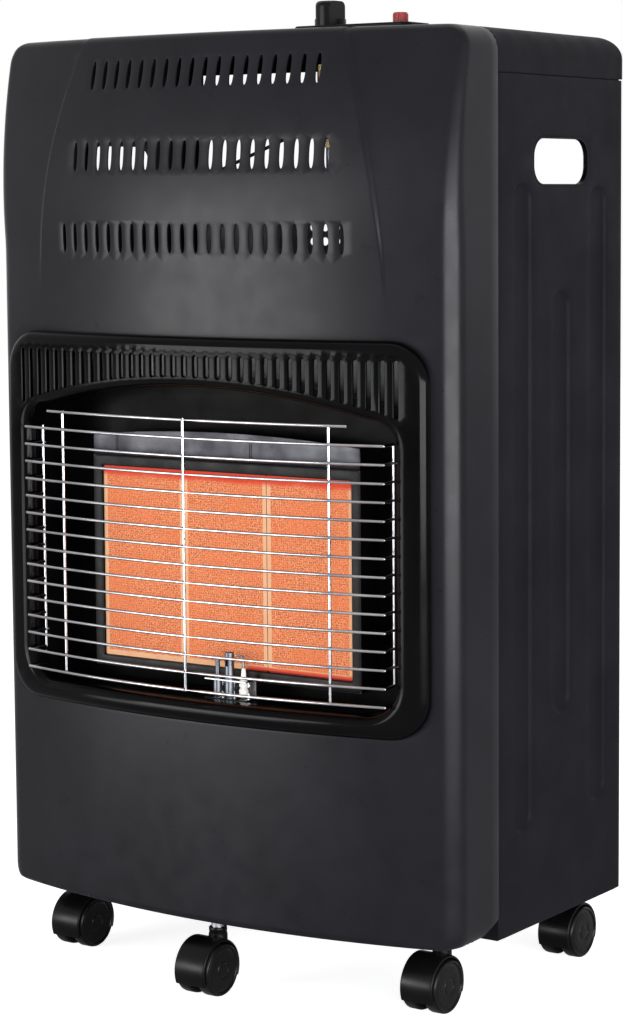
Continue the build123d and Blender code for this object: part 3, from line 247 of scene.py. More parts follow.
def glowing_ceramic(name):
    """Porous ceramic at red heat: a close grid of fine holes inside a plain border, and a redder upper edge."""
    material, tree, shader = blank(name)
    place = tree.nodes.new("ShaderNodeTexCoord")
    split = tree.nodes.new("ShaderNodeSeparateXYZ")
    tree.links.new(place.outputs["Object"], split.inputs["Vector"])
    x, z = split.outputs["X"], split.outputs["Z"]
    cells = tree.nodes.new("ShaderNodeTexVoronoi")
    cells.inputs["Scale"].default_value = 560.0
    cells.inputs["Randomness"].default_value = 0.45
    tree.links.new(place.outputs["Object"], cells.inputs["Vector"])
    field = ramp(tree, cells.outputs["Distance"], (0.34, 0.055, 0.016), (0.95, 0.26, 0.095), (0.16, 0.44))
    sparks = band(tree, noise(tree, 900.0, 2.0), 0.52, 0.7)
    field = layer(tree, sparks, field, (1.0, 0.6, 0.32))
    clouds = band(tree, noise(tree, 26.0, 3.0), 0.42, 0.66)
    field = layer(tree, maths(tree, "MULTIPLY", clouds, 0.45), field, (0.95, 0.22, 0.07))
    # distance from the middle of the plaque
    turn = maths(tree, "ADD", maths(tree, "DIVIDE", x, PLAQUE_PITCH * MM), 10.5)
    across = maths(tree, "ABSOLUTE", maths(tree, "SUBTRACT", maths(tree, "FRACT", turn), 0.5))
    sides = band(tree, across, 0.449, 0.456)
    foot = band(tree, z, (PLAQUE_LOW + 4.4) * MM, (PLAQUE_LOW + 3.6) * MM)
    border = layer(tree, noise(tree, 60.0, 2.0), (0.9, 0.42, 0.21), (1.0, 0.62, 0.36))
    colour = layer(tree, maths(tree, "MAXIMUM", sides, foot), field, border)
    colour = layer(tree, band(tree, across, 0.4945, 0.4965), colour, (0.4, 0.17, 0.08))
    # the upper edge glows deep red, and so does the right end of the lower edge
    wander = maths(tree, "MULTIPLY", noise(tree, 34.0, 3.0), 0.006)
    height = maths(tree, "ADD", z, wander)
    colour = layer(tree, band(tree, height, (PLAQUE_HIGH - 6.5) * MM, (PLAQUE_HIGH - 1.0) * MM), colour,
                   (0.78, 0.05, 0.014))
    right = band(tree, x, 0.012, 0.024)
    low = band(tree, z, (PLAQUE_LOW + 4.2) * MM, (PLAQUE_LOW + 2.4) * MM)
    colour = layer(tree, maths(tree, "MULTIPLY", right, low), colour, (0.78, 0.09, 0.03))
    edge = band(tree, z, (PLAQUE_LOW + 1.8) * MM, (PLAQUE_LOW + 0.6) * MM)
    colour = layer(tree, maths(tree, "MULTIPLY", right, edge), colour, (0.3, 0.006, 0.003))
    dim = tree.nodes.new("ShaderNodeMix")
    dim.data_type = "RGBA"
    dim.inputs["Factor"].default_value = 0.5
    dim.inputs["B"].default_value = (0.01, 0.002, 0.001, 1)
    tree.links.new(colour, dim.inputs["A"])
    tree.links.new(dim.outputs["Result"], shader.inputs["Base Color"])
    tree.links.new(colour, shader.inputs["Emission Color"])
    shader.inputs["Emission Strength"].default_value = 0.21
    shader.inputs["Roughness"].default_value = 0.9
    bump(tree, shader, cells.outputs["Distance"], 0.5, 0.0004)
    return material


def heat_tinted(name):
    """Glossy steel that the burner has darkened, darkest along its lower edge."""
    material, tree, shader = blank(name)
    shader.inputs["Metallic"].default_value = 1.0
    place = tree.nodes.new("ShaderNodeTexCoord")
    split = tree.nodes.new("ShaderNodeSeparateXYZ")
    tree.links.new(place.outputs["Object"], split.inputs["Vector"])
    steel = ramp(tree, noise(tree, 40.0, 4.0), (0.02, 0.02, 0.023), (0.042, 0.042, 0.047))
    soot = band(tree, split.outputs["Z"], (PLAQUE_HIGH + 17.0) * MM, (PLAQUE_HIGH + 9.0) * MM)
    tree.links.new(layer(tree, soot, steel, (0.005, 0.005, 0.006)), shader.inputs["Base Color"])
    tree.links.new(spread(tree, noise(tree, 90.0, 3.0), 0.3, 0.42), shader.inputs["Roughness"])
    bump(tree, shader, noise(tree, 25.0, 2.0), 0.3, 0.0006)
    return material


MATERIALS = {
    "cabinet_paint": enamel("cabinet_enamel", (0.005, 0.0048, 0.0064), (0.0072, 0.0069, 0.009), (0.42, 0.54), 0.04),
    "front_paint": enamel("front_enamel", (0.0045, 0.0043, 0.006), (0.0066, 0.0063, 0.0086), (0.27, 0.34), 0.14),
    "bezel_enamel": enamel("bezel_enamel", (0.0008, 0.0008, 0.001), (0.0016, 0.0016, 0.0019), (0.1, 0.17), 0.06),
    "galvanised_steel": galvanised("galvanised"),
    "burner_casting": metal("burner_casting", (0.2, 0.2, 0.2), (0.32, 0.32, 0.32), (0.45, 0.6)),
    "ceramic_plaque": glowing_ceramic("glowing_ceramic"),
    "chrome_wire": metal("chrome", (0.3, 0.3, 0.315), (0.42, 0.42, 0.44), (0.06, 0.16)),
    "pilot_steel": metal("pilot_steel", (0.1, 0.11, 0.13), (0.18, 0.195, 0.22), (0.25, 0.4)),
    "brass_fittings": metal("brass", (0.2, 0.15, 0.075), (0.3, 0.23, 0.12), (0.22, 0.36)),
    "white_ceramic": enamel("glazed_ceramic", (0.7, 0.69, 0.66), (0.8, 0.79, 0.76), (0.15, 0.3)),
    "lead_sleeve": enamel("lead_sleeve", (0.012, 0.012, 0.012), (0.02, 0.02, 0.02), (0.55, 0.7), 0.3),
    "trim_plastic": enamel("trim_plastic", (0.0014, 0.0014, 0.0016), (0.003, 0.003, 0.0034), (0.3, 0.42), 0.08),
    "knob_plastic": enamel("knob_plastic", (0.0018, 0.0018, 0.002), (0.0036, 0.0036, 0.004), (0.2, 0.3), 0.12),
    "button_plastic": enamel("button_plastic", (0.2, 0.004, 0.008), (0.3, 0.008, 0.014), (0.16, 0.26), 0.5),
    "caster_plastic": enamel("caster_plastic", (0.0014, 0.0014, 0.0016), (0.003, 0.003, 0.0034), (0.26, 0.36), 0.1),
    "wheel_plastic": enamel("wheel_plastic", (0.002, 0.002, 0.0023), (0.004, 0.004, 0.0045), (0.22, 0.32), 0.13),
    "caster_steel": metal("zinc_steel", (0.5, 0.5, 0.52), (0.68, 0.68, 0.7), (0.2, 0.35)),
}
# nodes that heat or paint makes darker than the rest of their slot
FINISHES = {
    "burner_housing": enamel("housing_paint", (0.001, 0.001, 0.0012), (0.0026, 0.0026, 0.003), (0.3, 0.45), 0.1),
    "burner_chamber": enamel("chamber_paint", (0.0012, 0.0012, 0.0014), (0.003, 0.003, 0.0034), (0.22, 0.36), 0.018),
    "deflector": heat_tinted("heat_tinted"),
}


def dress(piece, slot, finish=None):
    """Give a piece its slot's material, or a finish of its own."""
    piece.data.materials.clear()
    piece.data.materials.append(finish or MATERIALS[slot])


slots = {entry["node"]: entry["material_slot"] for entry in frame["record"]["subparts"]}
for node_name, node in nodes.items():
    for index in range(max(1, len(node.material_slots))):
        if index < len(node.material_slots):
            node.material_slots[index].material = FINISHES.get(node_name, MATERIALS[slots[node_name]])


# ------------------------------------------------------------------ sheet pieces with rounded edges
def loop_normals(loop):
    """Unit vectors in the plane that point out of a loop that runs anticlockwise."""
    normals = []
    count = len(loop)
    for i in range(count):
        before, here, after = loop[i - 1], loop[i], loop[(i + 1) % count]
        first = (here - before).normalized()
        second = (after - here).normalized()
        along = (first + second).normalized()
        normals.append(Vector((along.y, -along.x)))
    return normals


def grid_points(xs, ys, keep):
    return [Vector((x, y)) for x in xs for y in ys if keep(x, y)]


def inside(point, loop):
    """Whether a point lies inside a closed polygon."""
    found = False
    for i, here in enumerate(loop):
        before = loop[i - 1]
        if (here.y > point.y) != (before.y > point.y):
            crossing = here.x + (point.y - here.y) * (before.x - here.x) / (before.y - here.y)
            found ^= point.x < crossing
    return found


def in_box(point, loop):
    """Whether a point lies in the box round a loop."""
    xs = [p.x for p in loop]
    ys = [p.y for p in loop]
    return min(xs) <= point.x <= max(xs) and min(ys) <= point.y <= max(ys)


def in_sheet(point, outer, holes):
    if not inside(point, outer):
        return False
    return not any(in_box(point, hole) and inside(point, hole) for hole in holes)


def sheet(name, loops, rims, inner_points, place, thickness):
    """A closed sheet with rounded edges.

    The first loop runs anticlockwise and the holes clockwise, in the sheet's own plane. place(u, v, depth)
    puts a point of it into space, in millimetres. Each loop's rim(u, v) lists (outward, depth) steps from
    the face to the back.
    """
    flat = [point for loop in loops for point in loop] + inner_points
    edges = []
    start = 0
    for loop in loops:
        count = len(loop)
        edges += [(start + i, start + (i + 1) % count) for i in range(count)]
        start += count
    out, _, faces, original, _, _ = delaunay_2d_cdt(flat, edges, [], 1, 1e-5)
    middles = [sum((out[i] for i in face), Vector((0, 0))) / len(face) for face in faces]
    faces = [face for face, middle in zip(faces, middles) if in_sheet(middle, loops[0], loops[1:])]
    index_of = {}
    for i, sources in enumerate(original):
        for source in sources:
            index_of[source] = i
    mesh = bmesh.new()
    front = [mesh.verts.new(place(p.x, p.y, 0.0) * MM) for p in out]
    for face in faces:
        mesh.faces.new([front[i] for i in face])
    back = {}
    start = 0
    for loop, rim in zip(loops, rims):
        normals = loop_normals(loop)
        count = len(loop)
        steps = [rim(point.x, point.y) for point in loop]
        last = [front[index_of[start + i]] for i in range(count)]
        for step in range(len(steps[0])):
            ring = []
            for i in range(count):
                outward, depth = steps[i][step]
                point = loop[i] + normals[i] * outward
                ring.append(mesh.verts.new(place(point.x, point.y, depth) * MM))
            for i in range(count):
                j = (i + 1) % count
                mesh.faces.new([last[j], last[i], ring[i], ring[j]])
            last = ring
        for i in range(count):
            back[index_of[start + i]] = last[i]
        start += count
    used = {i for face in faces for i in face}
    for i, p in enumerate(out):
        if i not in back and i in used:
            back[i] = mesh.verts.new(place(p.x, p.y, thickness) * MM)
    for face in faces:
        mesh.faces.new([back[i] for i in reversed(face)])
    bmesh.ops.delete(mesh, geom=[v for v in mesh.verts if not v.link_faces], context="VERTS")
    return into_piece(name, mesh)


def round_rim(radius, depth, count=4):
    """Rim steps that turn a face's edge into a round and then run straight back."""
    steps = []
    for i in range(1, count + 1):
        angle = math.pi / 2 * i / count
        steps.append((radius * math.sin(angle), radius * (1 - math.cos(angle))))
    steps.append((radius, depth))
    return steps


def into_piece(name, mesh, sharp=40.0):
    """Turn a bmesh into a smooth shaded object with crisp edges."""
    bmesh.ops.recalc_face_normals(mesh, faces=mesh.faces)
    data = bpy.data.meshes.new(name)
    mesh.to_mesh(data)
    mesh.free()
    for polygon in data.polygons:
        polygon.use_smooth = True
    data.set_sharp_from_angle(angle=math.radians(sharp))
    piece = bpy.data.objects.new(name, data)
    bpy.context.scene.collection.objects.link(piece)
    return piece


def bow(radius, x):
    return radius - math.sqrt(max(0.0, radius**2 - x**2))


def share(z):
    """How far the lean of the front has come at a height, from nothing to one."""
    return min(1.0, max(0.0, (z - LEAN_START) / (TOP - LEAN_START)))


def smooth(value):
    value = min(1.0, max(0.0, value))
    return value * value * (3 - 2 * value)


def around(start, stop, step):
    """Evenly spaced values that include both ends."""
    count = max(1, math.ceil(abs(stop - start) / step))
    return [start + (stop - start) * i / count for i in range(count + 1)]


# ------------------------------------------------------------------ front moulding
FACE_HALF = 190.0
WRAP = 66.0
PLAN_END = FACE_HALF + WRAP  # plan coordinate of the moulding's rear edge
BOW_END = FACE_HALF - TOP_SIDE_ROUND - 3.0  # up to here the plan coordinate is X itself
BEND_TOP = TOP - TOP_SIDE_ROUND
UPRIGHT_END = BEND_TOP + TOP_SIDE_ROUND * math.pi / 2  # upright coordinate of the top face
FOOT_SIDE_SHARE = 0.55  # share of the foot's rounding that shows in the flanks
FOOT_FRONT_SHARE = 0.6
HEEL_LENGTH = 21.0
HEEL_HEIGHT = 12.0
WINDOW_MARGIN = 6.0  # how far the bezel laps over the moulding

SHIELD_LOW = 520.0
SHIELD_HALF = 160.5
SHIELD_TAPER = 8.5
SHIELD_CURVE = 33.0
SHIELD_PROUD = 5.0
SHIELD_STEP = 3.2  # width of the slope at the shield's edge


def level(b):
    """Height, inset of the flanks and inset of the bow at the upright coordinate b."""
    if b > BEND_TOP:
        angle = min(math.pi / 2, (b - BEND_TOP) / TOP_SIDE_ROUND)
        z = BEND_TOP + TOP_SIDE_ROUND * math.sin(angle)
        side = TOP_SIDE_ROUND * (1 - math.cos(angle))
        rise = max(0.0, z - (TOP - TOP_FRONT_ROUND))
        nose = TOP_FRONT_ROUND - math.sqrt(max(0.0, TOP_FRONT_ROUND**2 - rise**2))
        return z, side, nose
    if b < FRONT_LOW + FOOT_SIDE_ROUND:
        drop = FRONT_LOW + FOOT_SIDE_ROUND - b
        side = (FOOT_SIDE_ROUND - math.sqrt(max(0.0, FOOT_SIDE_ROUND**2 - drop**2))) * FOOT_SIDE_SHARE
        low = max(0.0, FRONT_LOW + FOOT_FRONT_ROUND - b)
        nose = (FOOT_FRONT_ROUND - math.sqrt(max(0.0, FOOT_FRONT_ROUND**2 - low**2))) * FOOT_FRONT_SHARE
        return b, side, nose
    return b, 0.0, 0.0


def plan_point(a, z, side_inset, nose_inset):
    """A point of the moulding's plan at a height: bow, corner and flank."""
    lean = share(z)
    radius = BOW_RADIUS + (TOP_BOW_RADIUS - BOW_RADIUS) * lean
    corner = FRONT_CORNER + (TOP_CORNER - FRONT_CORNER) * lean
    nose = CROWN_Y + LEAN_SET_BACK * lean**2 + nose_inset
    side = HALF - side_inset
    sign = -1 if a < 0 else 1
    a = abs(a)
    if a <= BOW_END:
        return sign * a, nose + bow(radius, a)
    reach = (a - BOW_END) / (PLAN_END - BOW_END)
    centre_x = side - corner
    centre_y = nose + radius - math.sqrt((radius - corner) ** 2 - centre_x**2)
    touch_x = centre_x * radius / (radius - corner)
    tilt = math.asin(touch_x / radius)
    bow_length = radius * (tilt - math.asin(BOW_END / radius))
    corner_length = corner * (math.pi / 2 - tilt)
    flank_length = SEAM_Y - centre_y
    run = reach * (bow_length + corner_length + flank_length)
    if run < bow_length:
        angle = math.asin(BOW_END / radius) + run / radius
        return sign * radius * math.sin(angle), nose + radius - radius * math.cos(angle)
    if run < bow_length + corner_length:
        angle = tilt + (run - bow_length) / corner
        return sign * (centre_x + corner * math.sin(angle)), centre_y - corner * math.cos(angle)
    return sign * side, centre_y + run - bow_length - corner_length


def shield_edge(z):
    """Half the width of the raised shield at a height."""
    t = min(1.0, max(0.0, (z - SHIELD_LOW) / (TOP - SHIELD_LOW)))
    return SHIELD_HALF - SHIELD_TAPER * t - SHIELD_CURVE * t**2.2


def shield_lift(x, z):
    """How far the shield stands proud of the bow."""
    start = SHIELD_LOW + 2.0
    height = max(0.0, (z - start) / (TOP - start)) ** 1.15 * SHIELD_PROUD
    return height * smooth((shield_edge(z) - abs(x)) / SHIELD_STEP)


def front_surface(a, b):
    z, side_inset, nose_inset = level(b)
    x, y = plan_point(a, z, side_inset, nose_inset)
    return Vector((x, y - shield_lift(x, z), z))


def front_place(a, b, depth):
    point = front_surface(a, b)
    if depth == 0.0:
        return point
    step = 0.5
    across = front_surface(a + step, b) - front_surface(a - step, b)
    up_low = max(FRONT_LOW, b - step)
    up = front_surface(a, up_low + 2 * step) - front_surface(a, up_low)
    inward = up.cross(across).normalized()
    if inward.y < 0 and abs(a) < FACE_HALF:
        inward = -inward
    return point + inward * depth


def lens_slot(x, z, width, length, pointed=2.6, count=28):
    """An upright slot with rounded, slightly pointed ends, clockwise."""
    loop = []
    for i in range(count):
        angle = -2 * math.pi * i / count
        c, s = math.cos(angle), math.sin(angle)
        dx = width / 2 * math.copysign(abs(c) ** 0.75, c)
        dz = length / 2 * math.copysign(abs(s) ** (2 / pointed), s)
        loop.append(Vector((x + dx, z + dz)))
    return loop


def resample(points, step):
    """Points at even steps along a closed polygon, corners kept."""
    loop = []
    for i, here in enumerate(points):
        after = points[(i + 1) % len(points)]
        count = max(1, math.ceil((after - here).length / step))
        loop += [here.lerp(after, k / count) for k in range(count)]
    return loop


def rounded_box(x0, z0, x1, z1, radius, step=4.0, grow=0.0):
    """A rounded rectangle, anticlockwise."""
    x0, z0, x1, z1, radius = x0 - grow, z0 - grow, x1 + grow, z1 + grow, radius + grow
    corners = []
    arc_steps = max(4, math.ceil(radius * math.pi / 2 / min(step, 2.0)))
    for cx, cz, turn in ((x1 - radius, z0 + radius, -90), (x1 - radius, z1 - radius, 0),
                         (x0 + radius, z1 - radius, 90), (x0 + radius, z0 + radius, 180)):
        for i in range(arc_steps + 1):
            angle = math.radians(turn + 90 * i / arc_steps)
            corners.append(Vector((cx + radius * math.cos(angle), cz + radius * math.sin(angle))))
    return resample(corners, step)


def front_outer():
    """Outline of the moulding in its own coordinates, with the cut-away heels."""
    heel, heel_top = PLAN_END - HEEL_LENGTH, FRONT_LOW + HEEL_HEIGHT
    corners = [Vector(p) for p in (
        (-PLAN_END, heel_top), (-heel, FRONT_LOW), (heel, FRONT_LOW),
        (PLAN_END, heel_top), (PLAN_END, UPRIGHT_END), (-PLAN_END, UPRIGHT_END))]
    return resample(corners, 5.0)


def slot_places():
    for count, z in SLOT_ROWS:
        for i in range(count):
            yield (i - (count - 1) / 2) * SLOT_PITCH, z


def make_front():
    window_half = BEZEL_WIDTH / 2 - WINDOW_MARGIN
    window = rounded_box(-window_half, BEZEL_BOTTOM + WINDOW_MARGIN, window_half, BEZEL_TOP - WINDOW_MARGIN,
                         BEZEL_CORNER - WINDOW_MARGIN)
    holes = [list(reversed(window))]
    places = list(slot_places())
    holes += [lens_slot(x, z, SLOT_WIDTH, SLOT_LENGTH) for x, z in places]
    flat_half = 168.0
    wide = around(-flat_half, flat_half, 8.0)
    wrap = [flat_half + i * 2.0 for i in range(1, 26)] + [222.0, 228.0, 234.0, 240.0, 246.0]
    xs = [-v for v in reversed(wrap)] + wide + wrap
    bs = [FRONT_LOW + v for v in (1, 2, 3.2, 5, 7.5, 10.5, 14)] + around(80.0, 690.0, 8.0)
    bs += [BEND_TOP + TOP_SIDE_ROUND * math.radians(v) for v in range(0, 88, 6)]

    def keep(x, z):
        if abs(x) < BEZEL_WIDTH / 2 - 2 and BEZEL_BOTTOM + 2 < z < BEZEL_TOP - 2:
            return False
        if abs(x) > PLAN_END - 2.5 or z > UPRIGHT_END - 1.0:
            return False
        heel = FRONT_LOW + HEEL_HEIGHT - (PLAN_END - abs(x)) * 0.55
        if abs(x) > PLAN_END - 24 and z < heel + 2.5:
            return False
        if abs(abs(x) - shield_edge(z)) < 6.0 and z > SHIELD_LOW:
            return False
        for count, middle in SLOT_ROWS:
            if abs(z - middle) < SLOT_LENGTH / 2 + 2.6 and abs(x) < (count / 2 + 0.1) * SLOT_PITCH:
                return False
        return True

    points = grid_points(xs, bs, keep)
    for x, z in places:
        for dz in (-13.6, 13.6):
            points.append(Vector((x, z + dz)))
    for z in around(SHIELD_LOW + 4.0, BEND_TOP + 24.0, 4.0):
        for offset in (-0.6, 0.2, 0.9, 1.6, 2.3, 3.0, 3.8, 5.0):
            height = level(z)[0]
            for sign in (-1, 1):
                points.append(Vector((sign * (shield_edge(height) - offset), z)))

    def rim(a, b):
        return [(0.25, 0.1), (0.4, 0.4), (0.4, SHEET)]

    loops = [front_outer(), *holes]
    front = sheet("front_moulding", loops, [rim] * len(loops), points, front_place, SHEET)
    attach(front, "cabinet")
    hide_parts("front_panel")
    dress(front, "front_paint")
    return front


def lid_front_edge(x):
    """Front edge of the lid on the top face."""
    if abs(x) > HALF - TOP_SIDE_ROUND:
        return SEAM_Y
    return CROWN_Y + LEAN_SET_BACK + TOP_STRIP + bow(TOP_BOW_RADIUS, x)


def make_front_top():
    """The flat strip of the moulding in front of the lid."""
    half = HALF - TOP_SIDE_ROUND
    nose = [front_surface(a, UPRIGHT_END) for a in around(-half, half, 6.0)]
    outer = [Vector((point.x, point.y)) for point in nose if abs(point.x) < half]
    outer = [Vector((-half, SEAM_Y)), *outer, Vector((half, SEAM_Y))]
    outer += [Vector((x, lid_front_edge(x))) for x in around(half - 0.01, 0.01 - half, 6.0)]

    def place(x, y, depth):
        return Vector((x, y, TOP - depth))

    def rim(x, y):
        return [(0.0, SHEET)]

    strip = sheet("front_top_strip", [outer], [rim], [], place, SHEET)
    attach(strip, "cabinet")
    dress(strip, "front_paint")
    return strip


make_front()
make_front_top()


# ------------------------------------------------------------------ window bezel
BEZEL_CROWN = CROWN_Y - BEZEL_PROUD
BEZEL_ROUND = 6.5  # rounding of the outer edge
LIP_ROUND = 7.0  # rolled edge round the opening
LIP_DEPTH = 16.0
BEZEL_SHEET = 2.4


def arch(x, grow=0.0):
    """Height of the arched upper edge of the opening."""
    return OPENING_CROWN + grow - bow(OPENING_ARCH + grow, x)


def fillet_loop(corners, radii, step=3.0):
    """A closed polygon, anticlockwise, with each corner rounded to its own radius."""
    points = []
    count = len(corners)
    for i in range(count):
        before, here, after = corners[i - 1], corners[i], corners[(i + 1) % count]
        radius = radii[i]
        into = (here - before).normalized()
        away = (after - here).normalized()
        turn = into.angle(away)
        if radius <= 0 or turn < 1e-4:
            points.append(here.copy())
            continue
        reach = radius * math.tan(turn / 2)
        start = here - into * reach
        inward = Vector((-into.y, into.x))
        centre = start + inward * radius
        arc_steps = max(3, math.ceil(radius * turn / 2.0))
        spoke = start - centre
        for k in range(arc_steps + 1):
            angle = turn * k / arc_steps
            c, s = math.cos(angle), math.sin(angle)
            points.append(centre + Vector((spoke.x * c - spoke.y * s, spoke.x * s + spoke.y * c)))
    return resample(points, step)


def opening_loop(grow=0.0):
    """The arched opening, anticlockwise."""
    side = OPENING_WIDTH / 2 + grow
    crest = [Vector((x, arch(x, grow))) for x in around(side, -side, 8.0)]
    corners = [Vector((-side, OPENING_BOTTOM - grow)), Vector((side, OPENING_BOTTOM - grow)), *crest]
    radii = [OPENING_CORNER + grow] * 2 + [0.0] * len(crest)
    loop = fillet_loop(corners, radii)
    return soften(loop, side, grow)


def soften(loop, side, grow):
    """Round the two upper corners of the opening."""
    radius = OPENING_TOP_CORNER + grow
    shoulder = arch(side, grow)
    centre_x = side - radius
    centre_z = arch(centre_x, grow) - radius
    rounded = []
    for point in loop:
        dx = abs(point.x) - centre_x
        dz = point.y - centre_z
        if dx > 0 and dz > 0 and point.y > shoulder - 2 * radius:
            length = math.hypot(dx, dz)
            sign = 1 if point.x > 0 else -1
            rounded.append(Vector((sign * (centre_x + dx * radius / length), centre_z + dz * radius / length)))
        else:
            rounded.append(point)
    return rounded


def capsule(x, low, high, width, count=8):
    """An upright slot with round ends, clockwise."""
    radius = width / 2
    loop = []
    for i in range(count + 1):
        angle = math.pi * i / count
        loop.append(Vector((x + radius * math.cos(angle), high - radius + radius * math.sin(angle))))
    for i in range(count + 1):
        angle = math.pi * (1 + i / count)
        loop.append(Vector((x + radius * math.cos(angle), low + radius + radius * math.sin(angle))))
    return list(reversed(loop))


def bezel_place(x, z, depth):
    """A point behind the bezel's bowed face."""
    radius = BOW_RADIUS + BEZEL_PROUD
    x = max(-HALF, min(HALF, x))
    angle = math.asin(x / radius)
    return Vector((x - depth * math.sin(angle), BEZEL_CROWN + bow(radius, x) + depth * math.cos(angle), z))


def make_bezel():
    half = BEZEL_WIDTH / 2
    outer = rounded_box(-half, BEZEL_BOTTOM, half, BEZEL_TOP, BEZEL_CORNER, 4.0, -BEZEL_ROUND)
    opening = list(reversed(opening_loop(LIP_ROUND)))
    loops = [outer, opening]
    rims = [lambda u, v: round_rim(BEZEL_ROUND, BEZEL_PROUD - 0.4),
            lambda u, v: round_rim(LIP_ROUND, LIP_DEPTH, 6)]
    places = []
    for i in range(VENT_COUNT):
        x = (i - (VENT_COUNT - 1) / 2) * VENT_PITCH
        low = arch(x) + VENT_ABOVE_ARCH + VENT_EDGE
        places.append((x, low))
        loops.append(capsule(x, low, VENT_TOP, VENT_WIDTH))
        rims.append(lambda u, v: round_rim(VENT_EDGE, BEZEL_SHEET, 2))

    def keep(x, z):
        if not in_sheet(Vector((x, z)), outer, [opening]):
            return False
        return z < arch(x) + 4 or z > VENT_TOP + 2 or abs(x) > places[-1][0] + 6

    points = grid_points(around(-184, 184, 8.0), around(214, 490, 8.0), keep)
    bezel = sheet("bezel_moulding", loops, rims, points, bezel_place, BEZEL_SHEET)
    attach(bezel, "cabinet")
    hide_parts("bezel")
    dress(bezel, "bezel_enamel")


make_bezel()


# ------------------------------------------------------------------ side panels
PANEL_GAP = 0.4
PANEL_SHEET = 1.0
PANEL_FLANGE = 16.0
PANEL_TOP = LID_LOW - PANEL_GAP
PANEL_FRONT = SEAM_Y + PANEL_GAP
GROOVE_WIDTH = 24.0
GROOVE_DEPTH = 2.4
GROOVE_SLOPE = 4.5
GROOVES = ((149.0, 128.0, 604.0), (92.5, 209.0, 525.0), (37.0, 132.0, 602.0))  # from the rear edge, low, high
HANDLE_BACK = 93.0
HANDLE_Z = 621.0
HANDLE_LENGTH = 82.0
HANDLE_HEIGHT = 36.0
HANDLE_CORNER = 15.0
PANEL_ROUND = 1.3


def groove_distance(y, z, groove):
    """Distance from the middle line of a groove."""
    from_rear, low, high = groove
    reach = GROOVE_WIDTH / 2
    nearest = min(max(z, low + reach), high - reach)
    return math.hypot(y - (REAR_Y - from_rear), z - nearest)


def pressed(y, z):
    """How deep the panel is pressed in at a point."""
    depth = 0.0
    for groove in GROOVES:
        edge = groove_distance(y, z, groove) - GROOVE_WIDTH / 2
        depth = max(depth, GROOVE_DEPTH * smooth(0.5 - edge / GROOVE_SLOPE))
    return depth


def make_side_panel(name, side, node):
    front, rear = PANEL_FRONT + PANEL_ROUND, REAR_Y - PANEL_ROUND
    low, high = BASE_LOW + PANEL_ROUND, PANEL_TOP - PANEL_ROUND
    corners = [Vector(p) for p in ((front, low), (rear, low), (rear, high), (front, high))]
    loops = [fillet_loop(corners, [0, 0, 0, 0], 8.0)]
    middle = REAR_Y - HANDLE_BACK
    hole = rounded_box(middle - HANDLE_LENGTH / 2, HANDLE_Z - HANDLE_HEIGHT / 2, middle + HANDLE_LENGTH / 2,
                       HANDLE_Z + HANDLE_HEIGHT / 2, HANDLE_CORNER, 4.0, 0.8)
    loops.append(list(reversed(hole)))
    points = []
    for groove in GROOVES:
        from_rear, low, high = groove
        centre = REAR_Y - from_rear
        for offset in (-2.4, -1.6, -0.8, 0.0, 0.8, 1.6, 2.4):
            reach = GROOVE_WIDTH / 2 + offset
            ring = rounded_box(centre - reach, low - offset, centre + reach, high + offset, reach - 0.01, 6.0)
            points += ring
        points += [Vector((centre, z)) for z in around(low + 12, high - 12, 12.0)]

    def keep(y, z):
        if any(groove_distance(y, z, groove) < GROOVE_WIDTH / 2 + 4 for groove in GROOVES):
            return False
        return in_sheet(Vector((y, z)), loops[0], []) and not in_box(Vector((y, z)), loops[1])

    points += grid_points(around(SEAM_Y + 6, REAR_Y - 6, 14.0), around(BASE_LOW + 8, PANEL_TOP - 8, 16.0), keep)

    def place(y, z, depth):
        return Vector((side * (HALF - depth - pressed(y, z)), y, z))

    def edge_rim(y, z):
        upright_edge = abs(y - (SEAM_Y + REAR_Y) / 2) > (REAR_Y - SEAM_Y) / 2 - 3
        flange = PANEL_FLANGE if upright_edge else PANEL_ROUND
        if not BASE_LOW + PANEL_FLANGE < z < PANEL_TOP - 4:
            flange = PANEL_ROUND
        return round_rim(PANEL_ROUND, flange, 3) + [(PANEL_ROUND - 1.0, flange), (PANEL_ROUND - 1.0, PANEL_ROUND)]

    def hole_rim(y, z):
        return [(0.4, 0.1), (0.7, 0.4), (0.7, PANEL_SHEET)]

    panel = sheet(name, loops, [edge_rim, hole_rim], points, place, PANEL_SHEET)
    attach(panel, "cabinet")
    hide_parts(node)
    dress(panel, "cabinet_paint")


make_side_panel("side_right", 1, "side_panel_right")
make_side_panel("side_left", -1, "side_panel_left")


# ------------------------------------------------------------------ burner trim
def make_burner_rim():
    """Painted face of the housing round the plaques, with rounded edges."""
    reach = PLAQUE_PITCH * 1.5 + 0.2
    outer = rounded_box(-HOUSING_HALF, PLAQUE_LOW - 8, HOUSING_HALF, PLAQUE_HIGH + 8, 3.0, 6.0, -0.8)
    hole = rounded_box(-reach, PLAQUE_LOW - 0.2, reach, PLAQUE_HIGH + 0.2, 1.0, 6.0, 0.7)

    def place(x, z, depth):
        return Vector((x, HOUSING_FRONT - 0.3 + depth, z))

    def rim(x, z):
        return round_rim(0.7, 1.5, 3)

    frame_piece = sheet("burner_rim", [outer, list(reversed(hole))], [rim, rim], [], place, 1.2)
    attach(frame_piece, "cabinet")
    dress(frame_piece, "burner_casting", FINISHES["burner_housing"])


SEAMS = (-101.0, 26.0)  # joints of the deflector's three sheets
DEFLECTOR_LOW = PLAQUE_HIGH + 8.3
DEFLECTOR_RIM = 16.0  # height of its ends
DEFLECTOR_CREST = 22.0  # height of its middle
DEFLECTOR_SHEET = 1.0
DEFLECTOR_ROUND = 0.5


